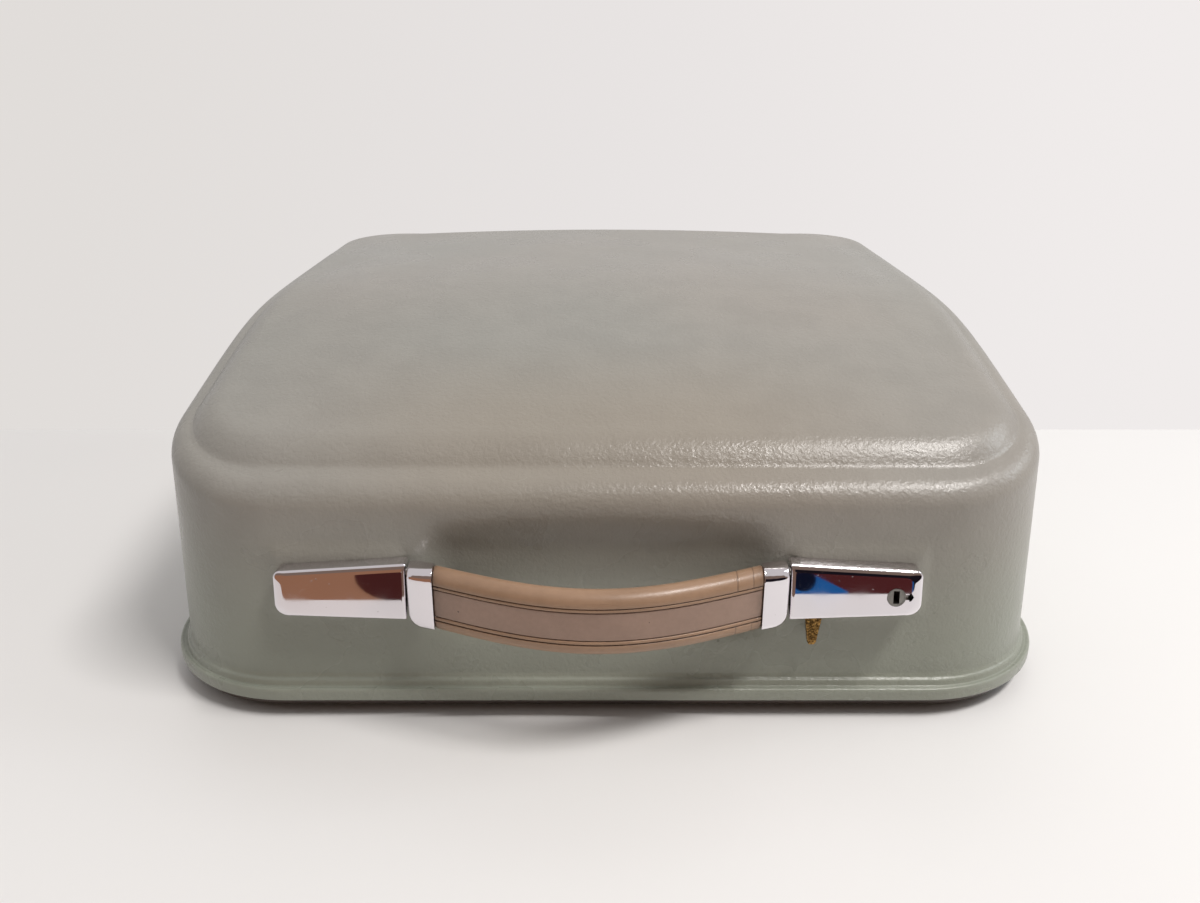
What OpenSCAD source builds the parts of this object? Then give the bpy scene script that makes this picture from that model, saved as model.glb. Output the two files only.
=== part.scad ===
// Portable typewriter case: a moulded cover hinged at the rear to a sheet-metal base, with a
// bowed handle between two plates on the front wall, a sliding latch behind them and a key lock.
// X runs across the case, Y from the front to the rear, Z up from the table.

/* [Rim and walls] */
// Outer width of the cover's rim flange
rim_w = 375; // [345:1:420]
// Outer depth of the rim flange, front to rear
rim_d = 348.5; // [320:0.5:390]
// Corner radius of the rim flange seen from above
rim_r = 61; // [54:1:72]
// Height of the flange's lower edge above the table
rim_z = 8; // [7.5:0.1:10]
// Height of the flange's outer face
rim_h = 5.4; // [4.5:0.1:7]
// How far the flange stands out from the foot of the wall
rim_out = 5.4; // [4.5:0.1:7]
// Corner radius of the wall at its foot
wall_r = 53.3; // [46:0.1:60]
// Thickness of the moulded shell
shell_t = 3; // [2.4:0.1:3.6]
// Inward lean of the side walls in degrees
side_draft = 2.3; // [1:0.1:3.5]
// Inward lean of the front and rear walls in degrees
end_draft = 2; // [1:0.1:3]

/* [Cover top] */
// Height of the shoulder line, carried forward to the flange's front face
shoulder_front = 93; // [90:1:112]
// Slope of the front part of the top in degrees
front_slope = 16.5; // [13:0.5:20]
// Slope of the rear part of the top in degrees
rear_slope = 2.3; // [0:0.1:5]
// Distance from the flange's front face to the bend between the two slopes
bend_y = 144.5; // [120:0.5:180]
// Length over which that bend is softened
bend_soft = 18; // [8:1:30]
// Radius of the rounded shoulder
shoulder_r = 8; // [6:0.5:11]
// Width of the ledge between the shoulder and the crown at the front and rear
ledge_end = 5; // [3:0.5:8]
// Width of the same ledge along the sides
ledge_side = 1; // [0.5:0.5:3]
// Rise of the ledge from the shoulder to the crease
ledge_rise = 0.5; // [0:0.1:1.5]
// Height of the crown above the shoulder line
crown_h = 7.3; // [5:0.1:10]
// Width of the crown's rolled edge
crown_roll = 13; // [9:0.5:18]
// Rise of the crown from its side edges to the middle
camber = 5.5; // [2:0.1:8]

/* [Front wall relief] */
// How far the pads behind the two plates stand out from the wall
pad_out = 1.2; // [0.8:0.1:2]
// Margin of each pad round its plate
pad_margin = 6; // [4:0.5:8]
// Depth of the hand recess between the plates
scoop_depth = 4; // [2:0.5:6]
// Height of the recess's lower end
scoop_z0 = 30; // [26:1:36]
// Height of the recess's upper end
scoop_z1 = 86; // [80:1:90]
// Width of the recess's soft edges
scoop_soft = 18; // [12:1:24]

/* [Handle] */
// Sideways place of the handle's middle
hand_x = -2.9; // [-6:0.1:6]
// Half the visible length of the grip
grip_half = 59.6; // [52:0.1:64]
// Height of the grip
grip_h = 20.6; // [18:0.1:23]
// Thickness of the grip
grip_t = 12; // [10:0.5:14]
// Height of the grip's middle above the table
grip_z = 56.6; // [55:0.1:60]
// How far the grip's ends stand out in front of the flange's front face
grip_end = 7; // [6:0.1:9]
// How far the grip bows out between its ends
grip_bow = 21; // [14:0.5:26]
// Width of the steel strap inside the grip
strap_h = 11; // [8:0.5:12]
// Thickness of that strap
strap_t = 3; // [2:0.1:4]
// Length of each ferrule
ferrule_l = 11.2; // [9:0.1:14]
// Radius of the handle's pivot pins
pivot_r = 1.5; // [1.2:0.1:1.8]
// Radius of the ferrule round its pivot, at the top of its back
heel_r = 4.5; // [4.2:0.1:5]

/* [Plates and lock] */
// Length of each plate
plate_l = 50.6; // [46:0.1:56]
// Thickness of the plates' sheet metal
plate_t = 1.1; // [0.8:0.1:1.4]
// Width of the plates' bevelled border
bevel = 1.4; // [0.8:0.1:2]
// Distance from the plate's outer end to the lock
lock_in = 10.8; // [9:0.1:16]
// Height of the lock's face above the table
lock_z = 55.8; // [54:0.1:58]
// Radius of the lock's visible ring
lock_r = 3.45; // [3:0.05:4]
// Radius of the turning plug
plug_r = 2.95; // [2.5:0.05:3.2]
// Radius of the lock's body behind the plate
barrel_r = 4.8; // [4:0.1:5.2]

/* [Latch] */
// Travel of the latch bar from released to latched
latch_travel = 6; // [5:0.5:7]
// Distance from the plate's inner end to the release tab
tab_in = 10; // [8:0.1:12]
// Width of the release tab at its root
tab_w = 6; // [5:0.1:7]
// Height of the tab's tip above the table
tab_z = 34.4; // [32:0.1:38]
// Height of the latch bar
bar_h = 9; // [8:0.5:10]
// Thickness of the latch bar and hooks
bar_t = 1.5; // [1.2:0.1:2]
// Radius of the studs that the hooks catch
catch_r = 2.5; // [2:0.1:3]
// Height of those studs above the table
catch_z = 15.5; // [15:0.5:18]

/* [Base] */
// How far the base stands back from the flange's face
pan_back = 2; // [1.5:0.1:3]
// Thickness of the base's sheet metal
sheet = 1.2; // [1:0.1:1.6]
// Height of the feet
foot_h = 2.3; // [2:0.1:3]
// Radius of the feet
foot_r = 9; // [7:0.5:12]
// Height of the locating rim's top above the table
lip_z = 14; // [12:0.5:15]
// Sideways distance of the feet from the middle
foot_x = 145; // [130:1:150]
// Distance of the front and rear feet from the base's ends
foot_y = 48; // [44:1:60]

/* [Hinges] */
// Sideways distance of each rear hinge from the middle
hinge_x = 100; // [80:1:115]
// Width of each hinge
hinge_w = 38; // [30:1:46]
// Radius of the hinge pins
hinge_pin_r = 1.5; // [1.2:0.1:2]
// Outer radius of the hinge knuckles
knuckle_r = 3.2; // [2.8:0.1:3.3]
// Height of the hinge leaf on the rear wall
leaf_z = 46; // [40:1:60]

/* [Fixings for the machine] */
// Sideways distance of the rear studs from the middle
stud_x = 90; // [70:1:110]
// Distance of the rear studs from the flange's front face
stud_y = 285; // [275:1:290]
// Radius of the rear studs
stud_r = 3; // [2.5:0.1:4]
// Height of the rear studs above their flanges
stud_h = 12; // [8:1:14]
// Sideways distance of the front clips from the middle
clip_x = 45; // [35:1:60]
// Distance of the clips' pivots from the flange's front face
clip_y = 46; // [42:1:56]
// Length of the clips
clip_l = 30; // [22:1:36]

/* [Hidden] */
$fn = 48;
eps = 0.01;
running = 0.05; // radial clearance of a pin in its bore
seat = 0.3; // gap between parts that rest on each other over a joint

mid_y = rim_d / 2;
half_w = rim_w / 2 - rim_out; // half the cover's width at the foot of its walls
half_d = rim_d / 2 - rim_out;
foot_z = rim_z + rim_h + 3.6; // height where the plain wall starts
lean_z = rim_z + 6; // height from which the walls lean

function soft(t) = let (c = min(max(t, 0), 1)) c * c * (3 - 2 * c);
function window(v, lo, hi, edge) = soft((v - lo) / edge) * soft((hi - v) / edge);
function wall_y(z) = rim_out + (z - lean_z) * tan(end_draft);
function pad_y(z) = wall_y(z) - pad_out;

// Height of the shoulder line at distance y from the front: two slopes with a soft bend.
function shoulder_z(y) = shoulder_front + tan(front_slope) * y
    - (tan(front_slope) - tan(rear_slope)) * bend_soft * ln(1 + exp((y - bend_y) / bend_soft));

/* Plates: places measured from the handle's middle, mirrored to the left side */
ferrule_x0 = grip_half + 0.2; // ferrule's grip end
ferrule_x1 = ferrule_x0 + ferrule_l;
plate_x0 = ferrule_x1 + 0.9; // plate's inner end
plate_x1 = plate_x0 + plate_l;
plate_z0 = grip_z - grip_h / 2 + 0.3; // lower inner corner
plate_z1 = plate_z0 + grip_h + 1.3; // upper inner corner
plate_face = grip_end - 3; // how far the face's lower edge stands out
face_lean = 3 / (plate_z1 - plate_z0); // rearward lean of the face per unit of height
face_tilt = atan(face_lean);
function face_y(z) = -plate_face + (z - plate_z0) * face_lean;
plate_outline = [[plate_x0, plate_z0], [plate_x1, plate_z0 + 1.8],
    [plate_x1, plate_z1 - 3], [plate_x0, plate_z1]];
plate_radii = [0.5, 5, 3, 0.5];
lock_x = plate_x1 - lock_in;
tab_x = plate_x0 + tab_in;

ferrule_z0 = grip_z - grip_h / 2 - 2.1;
heel_y = wall_y(ferrule_z0) - seat; // the ferrules' backs, whose heels stop on the wall
pivot_z = plate_z1 - 4; // handle's pivot
pivot_y = heel_y - heel_r;
ferrule_z1 = pivot_z + heel_r;

/* Latch: depths measured from the flange's front face */
carrier_y = 15; // front of the carrier plate
carrier_t = 1.5;
bar_y = carrier_y + carrier_t + seat; // front of the latch bar
bar_z = plate_z0 - 3.6; // lower edge of the bar
bar_x0 = hand_x - plate_x1 + 14.5; // left end of the bar, released
bar_x1 = hand_x + lock_x - 11.7;
leg_w = 10;
hook_nose = latch_travel - 0.2; // reach of a hook beyond its leg
catch_lx = bar_x0 + leg_w + latch_travel + catch_r + 0.4;
catch_rx = bar_x1 + latch_travel + catch_r + 0.4;
catch_plate_y = bar_y + bar_t + 1;
arm_z = plate_z0 + 2.4; // lower side of the tab's arm through the wall
arm_h = 3;
arm_slack = 0.6;

stud_places = [[-plate_x1 + 9.5, grip_z + 0.6], [-plate_x0 - 9.1, grip_z + 1.6],
    [plate_x0 + 7.1, grip_z + 3], [lock_x - 12.3, grip_z + 0.6]];
plate_stud_r = 2;
guide_places = [-70, 0, 52];
guide_r = 2;

/* Lock: its axis stands square to the plate's face */
lock_face_y = face_y(lock_z);
lock_end = (bar_y - lock_face_y) / cos(face_tilt); // distance from the face to the cam
cam_reach = 5;

/* Base */
pan_z = foot_h; // underside of the base
floor_z = pan_z + sheet; // upper side of its floor
ledge_z = rim_z - seat; // the cover's rim rests here
lip_in = rim_out + shell_t + 0.8; // inset of the locating rim from the flange's face
hinge_y = rim_d + 4.5;
hinge_z = rim_z;
rear_y = hinge_y + knuckle_r;
front_y = -(grip_end + grip_bow);
origin_y = (rear_y + front_y) / 2;

// Moves the model so that its origin is under the middle of its bounding box.
module place() {
    translate([0, -origin_y, 0]) children();
}

// Rounds the corner at b between a and c with n short chords of radius r.
function round_corner(a, b, c, r, n) =
    let (u = (a - b) / norm(a - b), w = (c - b) / norm(c - b))
    let (half = acos(u * w) / 2, m = b + (u + w) / norm(u + w) * r / sin(half))
    let (d1 = b + u * r / tan(half) - m, d2 = b + w * r / tan(half) - m, turn = 180 - 2 * half)
    [for (i = [0 : n]) m + (d1 * sin(turn * (1 - i / n)) + d2 * sin(turn * i / n)) / sin(turn)];
function rounded(pts, radii, n = 5) =
    let (k = len(pts))
    [for (i = [0 : k - 1])
        each round_corner(pts[(i + k - 1) % k], pts[i], pts[(i + 1) % k], radii[i], n)];

// Rounded rectangle from above, as a plane figure with true arcs.
module outline_2d(inset, r) {
    w = rim_w - 2 * inset;
    d = rim_d - 2 * inset;
    translate([-w / 2 + r, inset]) square([w - 2 * r, d]);
    translate([-w / 2, inset + r]) square([w, d - 2 * r]);
    for (x = [-1, 1], y = [inset + r, rim_d - inset - r])
        translate([x * (w / 2 - r), y]) circle(r, $fn = 96);
}

// Closed solid through rings of points with equal counts, capped at its first and last ring.
module loft(rings) {
    n = len(rings[0]);
    m = len(rings);
    mean = function (ring) [for (k = [0 : 2]) [for (p = ring) p[k]] * [for (p = ring) 1] / n];
    polyhedron(
        points = concat([for (r = rings) each r], [mean(rings[0]), mean(rings[m - 1])]),
        faces = concat(
            [for (j = [0 : m - 2], i = [0 : n - 1])
                let (a = j * n + i, b = j * n + (i + 1) % n)
                each [[a, b, b + n], [a, b + n, a + n]]],
            [for (i = [0 : n - 1]) [m * n, (i + 1) % n, i]],
            [for (i = [0 : n - 1]) [m * n + 1, (m - 1) * n + i, (m - 1) * n + (i + 1) % n]]),
        convexity = 6);
}

// Cylinder along Y from y0 to y1.
module rod_y(x, z, y0, y1, r) {
    translate([x, y1, z]) rotate([90, 0, 0]) cylinder(r = r, h = y1 - y0);
}

// Cylinder along X from x0 to x1.
module rod_x(x0, x1, y, z, r) {
    translate([x0, y, z]) rotate([0, 90, 0]) cylinder(r = r, h = x1 - x0);
}

// Box from its lower to its upper corner.
module box(lo, hi) {
    translate(lo) cube(hi - lo);
}

/* Cover shell: a loft of rounded rectangles, from the crown's middle down the outside,
   round the rim's edge and up the inside. */

corner_steps = 8;
front_steps = 44;
side_steps = 8;
rear_steps = 6;
ledge_s = rim_out + shoulder_r; // inset where the ledge starts
crease_s = ledge_s + ledge_end; // inset of the crease at the crown's foot
crown_s = crease_s + crown_roll; // inset where the crown's roll ends

// Corner radius at inset s: the flange's corner tightens into the wall's, then follows the inset.
function ring_r(s) = s < rim_out ? rim_r - (rim_r - wall_r) * s / rim_out : wall_r - (s - rim_out);
// Half width at inset s: the side ledge is narrower than the front one.
function ring_a(s) = rim_w / 2 - s
    + (ledge_end - ledge_side) * min(max((s - ledge_s) / ledge_end, 0), 1);

function outline(s) =
    let (a = ring_a(s), r = ring_r(s), y0 = s, y1 = rim_d - s, b = a - r)
    concat(
        [for (i = [0 : front_steps - 1]) [b * (2 * i / front_steps - 1), y0]],
        [for (i = [0 : corner_steps - 1]) let (t = 90 * i / corner_steps)
            [b + r * sin(t), y0 + r - r * cos(t)]],
        [for (i = [0 : side_steps - 1]) [a, y0 + r + (y1 - y0 - 2 * r) * i / side_steps]],
        [for (i = [0 : corner_steps - 1]) let (t = 90 * i / corner_steps)
            [b + r * cos(t), y1 - r + r * sin(t)]],
        [for (i = [0 : rear_steps - 1]) [b * (1 - 2 * i / rear_steps), y1]],
        [for (i = [0 : corner_steps - 1]) let (t = 90 * i / corner_steps)
            [-b - r * sin(t), y1 - r + r * cos(t)]],
        [for (i = [0 : side_steps - 1]) [-a, y1 - r - (y1 - y0 - 2 * r) * i / side_steps]],
        [for (i = [0 : corner_steps - 1]) let (t = 90 * i / corner_steps)
            [-b - r * cos(t), y0 + r - r * sin(t)]]);

// Outward relief of the front wall: a pad behind each plate, a hand recess between them.
function relief(x, z) =
    let (u = x - hand_x, pad_z = window(z, plate_z0 - pad_margin, plate_z1 + pad_margin, pad_margin))
    pad_out * pad_z * (window(u, plate_x0, plate_x1 + pad_margin, pad_margin)
        + window(-u, plate_x0, plate_x1 + pad_margin, pad_margin))
    - scoop_depth * window(u, -plate_x0 - 1, plate_x0 + 1, scoop_soft)
        * window(z, scoop_z0, scoop_z1, scoop_soft);

// Leans a point inward with its height and adds the front wall's relief.
function lean(x, y, z) =
    let (k = max(z - lean_z, 0), px = x * (1 - k * tan(side_draft) / half_w))
    [px, mid_y + (y - mid_y) * (1 - k * tan(end_draft) / half_d)
        - (y < mid_y / 2 ? relief(px, z) : 0), z];

// Rings at a fixed height, at a share of the wall's height, and on the top.
function rim_ring(s, z) = [for (p = outline(s)) lean(p[0], p[1], z)];
function wall_ring(s, share) = [for (p = outline(s))
    lean(p[0], p[1], foot_z + share * (shoulder_z(p[1]) - shoulder_r - foot_z))];
function crown_z(x, y, rise, part) =
    shoulder_z(y) + rise + part * camber * (1 - pow(x / (half_w - 12), 2));
function top_ring(s, rise, part = 0, k = 1) = [for (p = outline(s))
    let (x = p[0] * k, y = mid_y + (p[1] - mid_y) * k) lean(x, y, crown_z(x, y, rise, part))];

// Rim section: inset and height, from the wall down to the flange's lower edge.
rim_section = [[rim_out - 0.4, rim_h + 2.2], [rim_out - 1, rim_h + 2], [rim_out - 1.7, rim_h + 1.2],
    [rim_out - 2.5, rim_h - 0.1], [1.3, rim_h + 0.1], [0.35, rim_h - 0.4], [0, rim_h - 1.2],
    [0, 0.7], [0.7, 0]];
wall_shares = [0, 0.16, 0.29, 0.38, 0.46, 0.55, 0.64, 0.72, 0.79, 0.88];
inner_shares = [0.02, 0.2, 0.33, 0.44, 0.55, 0.66, 0.76, 0.86, 0.97];
crown_inner = 2; // extra inset of the crown's foot inside the shell

module cover_body() {
    outer = concat(
        [for (k = [0.3, 0.6, 0.85]) top_ring(crown_s + 18, crown_h, 1, k)],
        [top_ring(crown_s + 18, crown_h, 1), top_ring(crown_s + 8, crown_h, 0.55)],
        [for (t = [1, 0.72, 0.45, 0.2]) top_ring(crease_s + crown_roll * t,
            ledge_rise + (crown_h - ledge_rise) * (1 - pow(1 - t, 2.4)))],
        [top_ring(crease_s, ledge_rise)],
        [for (a = [90, 65, 40, 20, 0]) top_ring(rim_out + shoulder_r * (1 - cos(a)),
            -shoulder_r * (1 - sin(a)))],
        [for (i = [len(wall_shares) - 1 : -1 : 0]) wall_ring(rim_out, wall_shares[i])],
        [for (p = rim_section) rim_ring(p[0], rim_z + p[1])]);
    inner = concat(
        [rim_ring(rim_out + shell_t, rim_z)],
        [for (f = inner_shares) wall_ring(rim_out + shell_t, f)],
        [for (a = [30, 65]) top_ring(rim_out + shoulder_r - (shoulder_r - shell_t) * cos(a),
            -shoulder_r + (shoulder_r - shell_t) * sin(a))],
        [top_ring(crease_s + crown_inner, ledge_rise - shell_t),
            top_ring(crease_s + crown_roll * 0.5, crown_h * 0.75 - shell_t),
            top_ring(crown_s + 2, crown_h - shell_t),
            top_ring(crown_s + 18, crown_h - shell_t, 1),
            top_ring(crown_s + 18, crown_h - shell_t, 1, 0.5)]);
    rings = concat(outer, inner);
    n = len(rings[0]);
    m = len(rings);
    polyhedron(
        points = concat([for (r = rings) each r],
            [[0, mid_y, crown_z(0, mid_y, crown_h, 1)],
                [0, mid_y, crown_z(0, mid_y, crown_h - shell_t, 1)]]),
        faces = concat(
            [for (j = [0 : m - 2], i = [0 : n - 1])
                let (a = j * n + i, b = j * n + (i + 1) % n)
                each [[a, a + n, b + n], [a, b + n, b]]],
            [for (i = [0 : n - 1]) [m * n, i, (i + 1) % n]],
            [for (i = [0 : n - 1]) [m * n + 1, (m - 1) * n + (i + 1) % n, (m - 1) * n + i]]),
        convexity = 8);
}

module cover_shell() {
    color([0.53, 0.53, 0.47]) difference() {
        cover_body();
        for (p = stud_places) rod_y(hand_x + p[0], p[1], 0, carrier_y, plate_stud_r + 0.3);
        on_lock_axis() cylinder(r = barrel_r + 0.3, h = 30, center = true);
        box([hand_x + tab_x - tab_w / 2 - arm_slack, 0, arm_z - arm_slack],
            [hand_x + tab_x + tab_w / 2 + latch_travel + arm_slack, carrier_y,
                arm_z + arm_h + arm_slack]);
        for (side = [-1, 1], p = rivet_places) rod_y(side * hinge_x + p[0], p[1], rim_d - 20, rim_d,
            rivet_r + 0.05);
    }
}

/* Rear hinges */

rivet_r = 1.6;
rivet_places = [[-11, 28], [11, 28], [0, 39]];
leaf_t = 1.4;
leaf_knuckle = hinge_w * 0.4; // length of the leaf's own knuckle
knuckle_gap = 0.3;

// One leaf: a strip from the knuckle up past the flange and in against the rear wall.
module hinge_leaf(side) {
    out = rim_d + 0.5; // inner face of the strip beside the flange
    wall = function (z) rim_d - wall_y(z) + 0.05;
    z1 = rim_z + rim_h + 2.6;
    z2 = z1 + 5;
    side_view = [[out, hinge_z], [out, z1], [wall(z2), z2], [wall(leaf_z), leaf_z],
        [wall(leaf_z) + leaf_t, leaf_z], [wall(z2) + leaf_t, z2 + 0.6], [out + leaf_t, z1 + 0.6],
        [out + leaf_t, hinge_z]];
    front_view = rounded([[-hinge_w / 2, hinge_z - 1], [hinge_w / 2, hinge_z - 1],
        [hinge_w / 2, leaf_z - 10], [8, leaf_z + 0.5], [-8, leaf_z + 0.5],
        [-hinge_w / 2, leaf_z - 10]], [0.5, 0.5, 6, 5, 5, 6]);
    color([0.55, 0.54, 0.5]) translate([side * hinge_x, 0, 0]) difference() {
        union() {
            intersection() {
                rotate([90, 0, 90]) linear_extrude(hinge_w, center = true) polygon(side_view);
                translate([0, rim_d + 10, 0]) rotate([90, 0, 0]) linear_extrude(40) polygon(front_view);
            }
            rod_x(-leaf_knuckle / 2, leaf_knuckle / 2, hinge_y, hinge_z, knuckle_r);
            box([-leaf_knuckle / 2, out, hinge_z], [leaf_knuckle / 2, hinge_y, hinge_z + leaf_t]);
        }
        rod_x(-hinge_w, hinge_w, hinge_y, hinge_z, hinge_pin_r + running);
        for (s = [-1, 1]) box(
            [s > 0 ? leaf_knuckle / 2 : -hinge_w, rim_d - 1, 0],
            [s > 0 ? hinge_w : -leaf_knuckle / 2, hinge_y + 5, hinge_z + knuckle_r + 0.6]);
        for (p = rivet_places) rod_y(p[0], p[1], rim_d - 20, rim_d + 5, rivet_r + 0.05);
    }
}

module hinge_rivets() {
    color([0.6, 0.59, 0.55]) for (side = [-1, 1], p = rivet_places) {
        inner = rim_d - wall_y(p[1]) - shell_t;
        outer = rim_d - wall_y(p[1]) + 0.05 + leaf_t;
        lift = 3.2 * tan(end_draft) + 0.05; // keeps the heads off the leaning faces
        rod_y(side * hinge_x + p[0], p[1], inner - lift, outer + lift, rivet_r);
        translate([side * hinge_x + p[0], outer + lift, p[1]]) rotate([-90, 0, 0]) {
            cylinder(r = 3, h = 0.4);
            translate([0, 0, 0.4]) cylinder(r1 = 3, r2 = 1.8, h = 0.7);
        }
        rod_y(side * hinge_x + p[0], p[1], inner - lift - 0.8, inner - lift, 3.2);
    }
}

module hinge_bracket(side) {
    slot = leaf_knuckle / 2 + knuckle_gap;
    arm_y = rim_d - 34; // inner end of the bracket's plate
    color([0.42, 0.41, 0.39]) translate([side * hinge_x, 0, 0]) difference() {
        union() {
            box([-hinge_w / 2, arm_y, floor_z], [hinge_w / 2, hinge_y - 0.6, floor_z + 1.6]);
            rod_x(-hinge_w / 2, hinge_w / 2, hinge_y, hinge_z, knuckle_r);
            box([-hinge_w / 2, hinge_y - knuckle_r, floor_z], [hinge_w / 2, hinge_y, hinge_z]);
        }
        rod_x(-hinge_w, hinge_w, hinge_y, hinge_z, hinge_pin_r + running);
        box([-slot, rim_d + 0.2, 0], [slot, hinge_y + 6, 20]);
        for (x = [-11, 11]) translate([x, arm_y + 10, 0]) cylinder(r = rivet_r + 0.05, h = 10);
    }
}

module hinge_pins() {
    color([0.7, 0.7, 0.7]) for (side = [-1, 1]) {
        x = side * hinge_x;
        rod_x(x - hinge_w / 2 - 0.6, x + hinge_w / 2 + 0.6, hinge_y, hinge_z, hinge_pin_r);
        for (s = [-1, 1]) translate([x + s * (hinge_w / 2 + 0.7), hinge_y, hinge_z])
            rotate([0, 90, 0]) cylinder(r = hinge_pin_r + 0.7, h = 0.8, center = true);
    }
}

/* Plates and their fixing through the wall */

// Thin slice of a plate's outline, leaning with the face, at a given distance behind it.
module plate_slice(behind, inset, back = false) {
    k = back ? tan(end_draft) : face_lean;
    y = back ? pad_y(plate_z0) - 0.15 - behind : -plate_face + behind;
    multmatrix([[1, 0, 0, 0], [0, 1, k, y - k * plate_z0], [0, 0, 1, 0], [0, 0, 0, 1]])
        translate([0, eps, 0]) rotate([90, 0, 0]) linear_extrude(eps)
        offset(delta = -inset) polygon(rounded(plate_outline, plate_radii));
}

module plate_body() {
    difference() {
        hull() {
            plate_slice(0, 0, back = true);
            plate_slice(bevel, 0);
            plate_slice(0.5, bevel * 0.3);
            plate_slice(0, bevel);
        }
        hull() {
            plate_slice(-2, plate_t, back = true);
            plate_slice(plate_t, plate_t);
        }
        rod_x(plate_x0 - 1, plate_x0 + plate_t + 1, pivot_y, pivot_z, pivot_r + 0.02);
    }
}

module handle_plate_left() {
    color([0.8, 0.8, 0.82]) translate([hand_x, 0, 0]) mirror([1, 0, 0]) plate_body();
}

// Moves its children so that Z runs out of the lock's face and the origin lies on that face.
module on_lock_axis() {
    translate([hand_x + lock_x, lock_face_y, lock_z]) rotate([90 - face_tilt, 0, 0]) children();
}

module lock_plate() {
    color([0.8, 0.8, 0.82]) difference() {
        translate([hand_x, 0, 0]) plate_body();
        on_lock_axis() cylinder(r = lock_r + 0.05, h = 6, center = true);
        on_lock_axis() linear_extrude(6, center = true)
            polygon([[lock_r - 0.5, -0.75], [5, -0.75], [5, -1.45], [6.5, 0], [5, 1.45], [5, 0.75],
                [lock_r - 0.5, 0.75]]);
        box([hand_x + tab_x - tab_w / 2 - arm_slack, -1.6, 0],
            [hand_x + tab_x + tab_w / 2 + latch_travel + arm_slack, 2.2, plate_z0 + 3]);
    }
}

// Threaded studs welded inside the plates, reaching through the wall and the carrier.
module plate_studs() {
    color([0.62, 0.62, 0.6]) for (p = stud_places) {
        flange_r = 3.2;
        y0 = face_y(p[1]) + plate_t + flange_r * face_lean + 0.1;
        rod_y(hand_x + p[0], p[1], y0, carrier_y + carrier_t + 4, plate_stud_r);
        rod_y(hand_x + p[0], p[1], y0, y0 + 1, flange_r);
    }
}

module carrier_spacers() {
    color([0.5, 0.5, 0.48]) for (p = stud_places) difference() {
        least = min([for (k = [-4 : 2 : 4]) relief(hand_x + p[0] + k, p[1])]);
        y0 = wall_y(p[1]) - least + shell_t + 0.4;
        rod_y(hand_x + p[0], p[1], y0, carrier_y, 3.5);
        rod_y(hand_x + p[0], p[1], y0 - 1, carrier_y + 1, plate_stud_r + 0.1);
    }
}

module carrier_nuts() {
    color([0.62, 0.62, 0.6]) for (p = stud_places) difference() {
        translate([hand_x + p[0], carrier_y + carrier_t + 3, p[1]]) rotate([90, 0, 0])
            cylinder(r = 4, h = 3, $fn = 6);
        rod_y(hand_x + p[0], p[1], carrier_y, carrier_y + 9, plate_stud_r + 0.02);
    }
}

// Pressed plate inside the front wall: it joins the two plates and guides the latch bar.
module latch_carrier() {
    x0 = hand_x - plate_x1 + 1.5;
    x1 = hand_x + plate_x1 - 1.5;
    z0 = bar_z - 2;
    z1 = plate_z1 - 1;
    color([0.48, 0.47, 0.45]) difference() {
        union() {
            translate([0, carrier_y + carrier_t, 0]) rotate([90, 0, 0]) linear_extrude(carrier_t)
                polygon(rounded([[x0, z0], [x1, z0], [x1, z1], [x0, z1]], [5, 5, 5, 5]));
            box([x0 + 6, carrier_y, z1 - carrier_t], [x1 - 6, carrier_y + 6, z1]);
        }
        for (p = stud_places) rod_y(hand_x + p[0], p[1], 0, 30, plate_stud_r + 0.2);
        for (x = guide_places) rod_y(hand_x + x, bar_z + bar_h / 2, 0, 30, guide_r + 0.02);
        on_lock_axis() cylinder(r = barrel_r + 0.3, h = 60, center = true);
        box([hand_x + tab_x - tab_w / 2 - arm_slack, 0, bar_z],
            [hand_x + tab_x + tab_w / 2 + latch_travel + arm_slack, 30, arm_z + arm_h + arm_slack]);
        for (x = [-40, 26]) translate([hand_x + x, 0, z1 - 9]) rotate([-90, 0, 0])
            cylinder(r = 4.5, h = 30);
    }
}

// Shouldered rivets that the bar's slots run on.
module bar_guides() {
    color([0.66, 0.65, 0.6]) for (x = guide_places) {
        z = bar_z + bar_h / 2;
        rod_y(hand_x + x, z, carrier_y - 0.2, bar_y + bar_t + 0.4, guide_r);
        rod_y(hand_x + x, z, bar_y + bar_t + seat, bar_y + bar_t + seat + 1, 4);
        rod_y(hand_x + x, z, carrier_y - 0.9, carrier_y, 3.4);
    }
}

// Bent leaf spring whose nose rubs on the bar's upper edge and holds it where it is put.
module detent_spring() {
    t = 0.6;
    top = bar_z + bar_h + 0.15;
    bend = [[-24, 8.4], [-12, 8.4], [0, 0], [5, 3.4]];
    color([0.7, 0.7, 0.68]) translate([hand_x - 10, 0, top]) {
        translate([0, bar_y + bar_t + 0.2, 0]) rotate([90, 0, 0]) linear_extrude(bar_t + 0.4)
            polygon(concat(bend, [for (i = [3 : -1 : 0]) bend[i] + [0, t / cos(i == 0 ? 0 : 35)]]));
        translate([-24, carrier_y + carrier_t, 8.4]) cube([12, 2.4, t]);
    }
    color([0.7, 0.7, 0.68]) box([hand_x - 34, carrier_y + carrier_t, top + 8.4],
        [hand_x - 22, carrier_y + carrier_t + t, top + 13]);
}

/* Handle */

grip_steps = 22;

// Place of the grip's front face, and its thickness along Y, at distance x from the middle.
function grip_front(x) = -grip_end - grip_bow * cos(90 * x / grip_half);
function grip_slope(x) = grip_bow * sin(90 * x / grip_half) * PI / 2 / grip_half;
function grip_depth(x) = grip_t * sqrt(1 + pow(grip_slope(x), 2));

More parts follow.
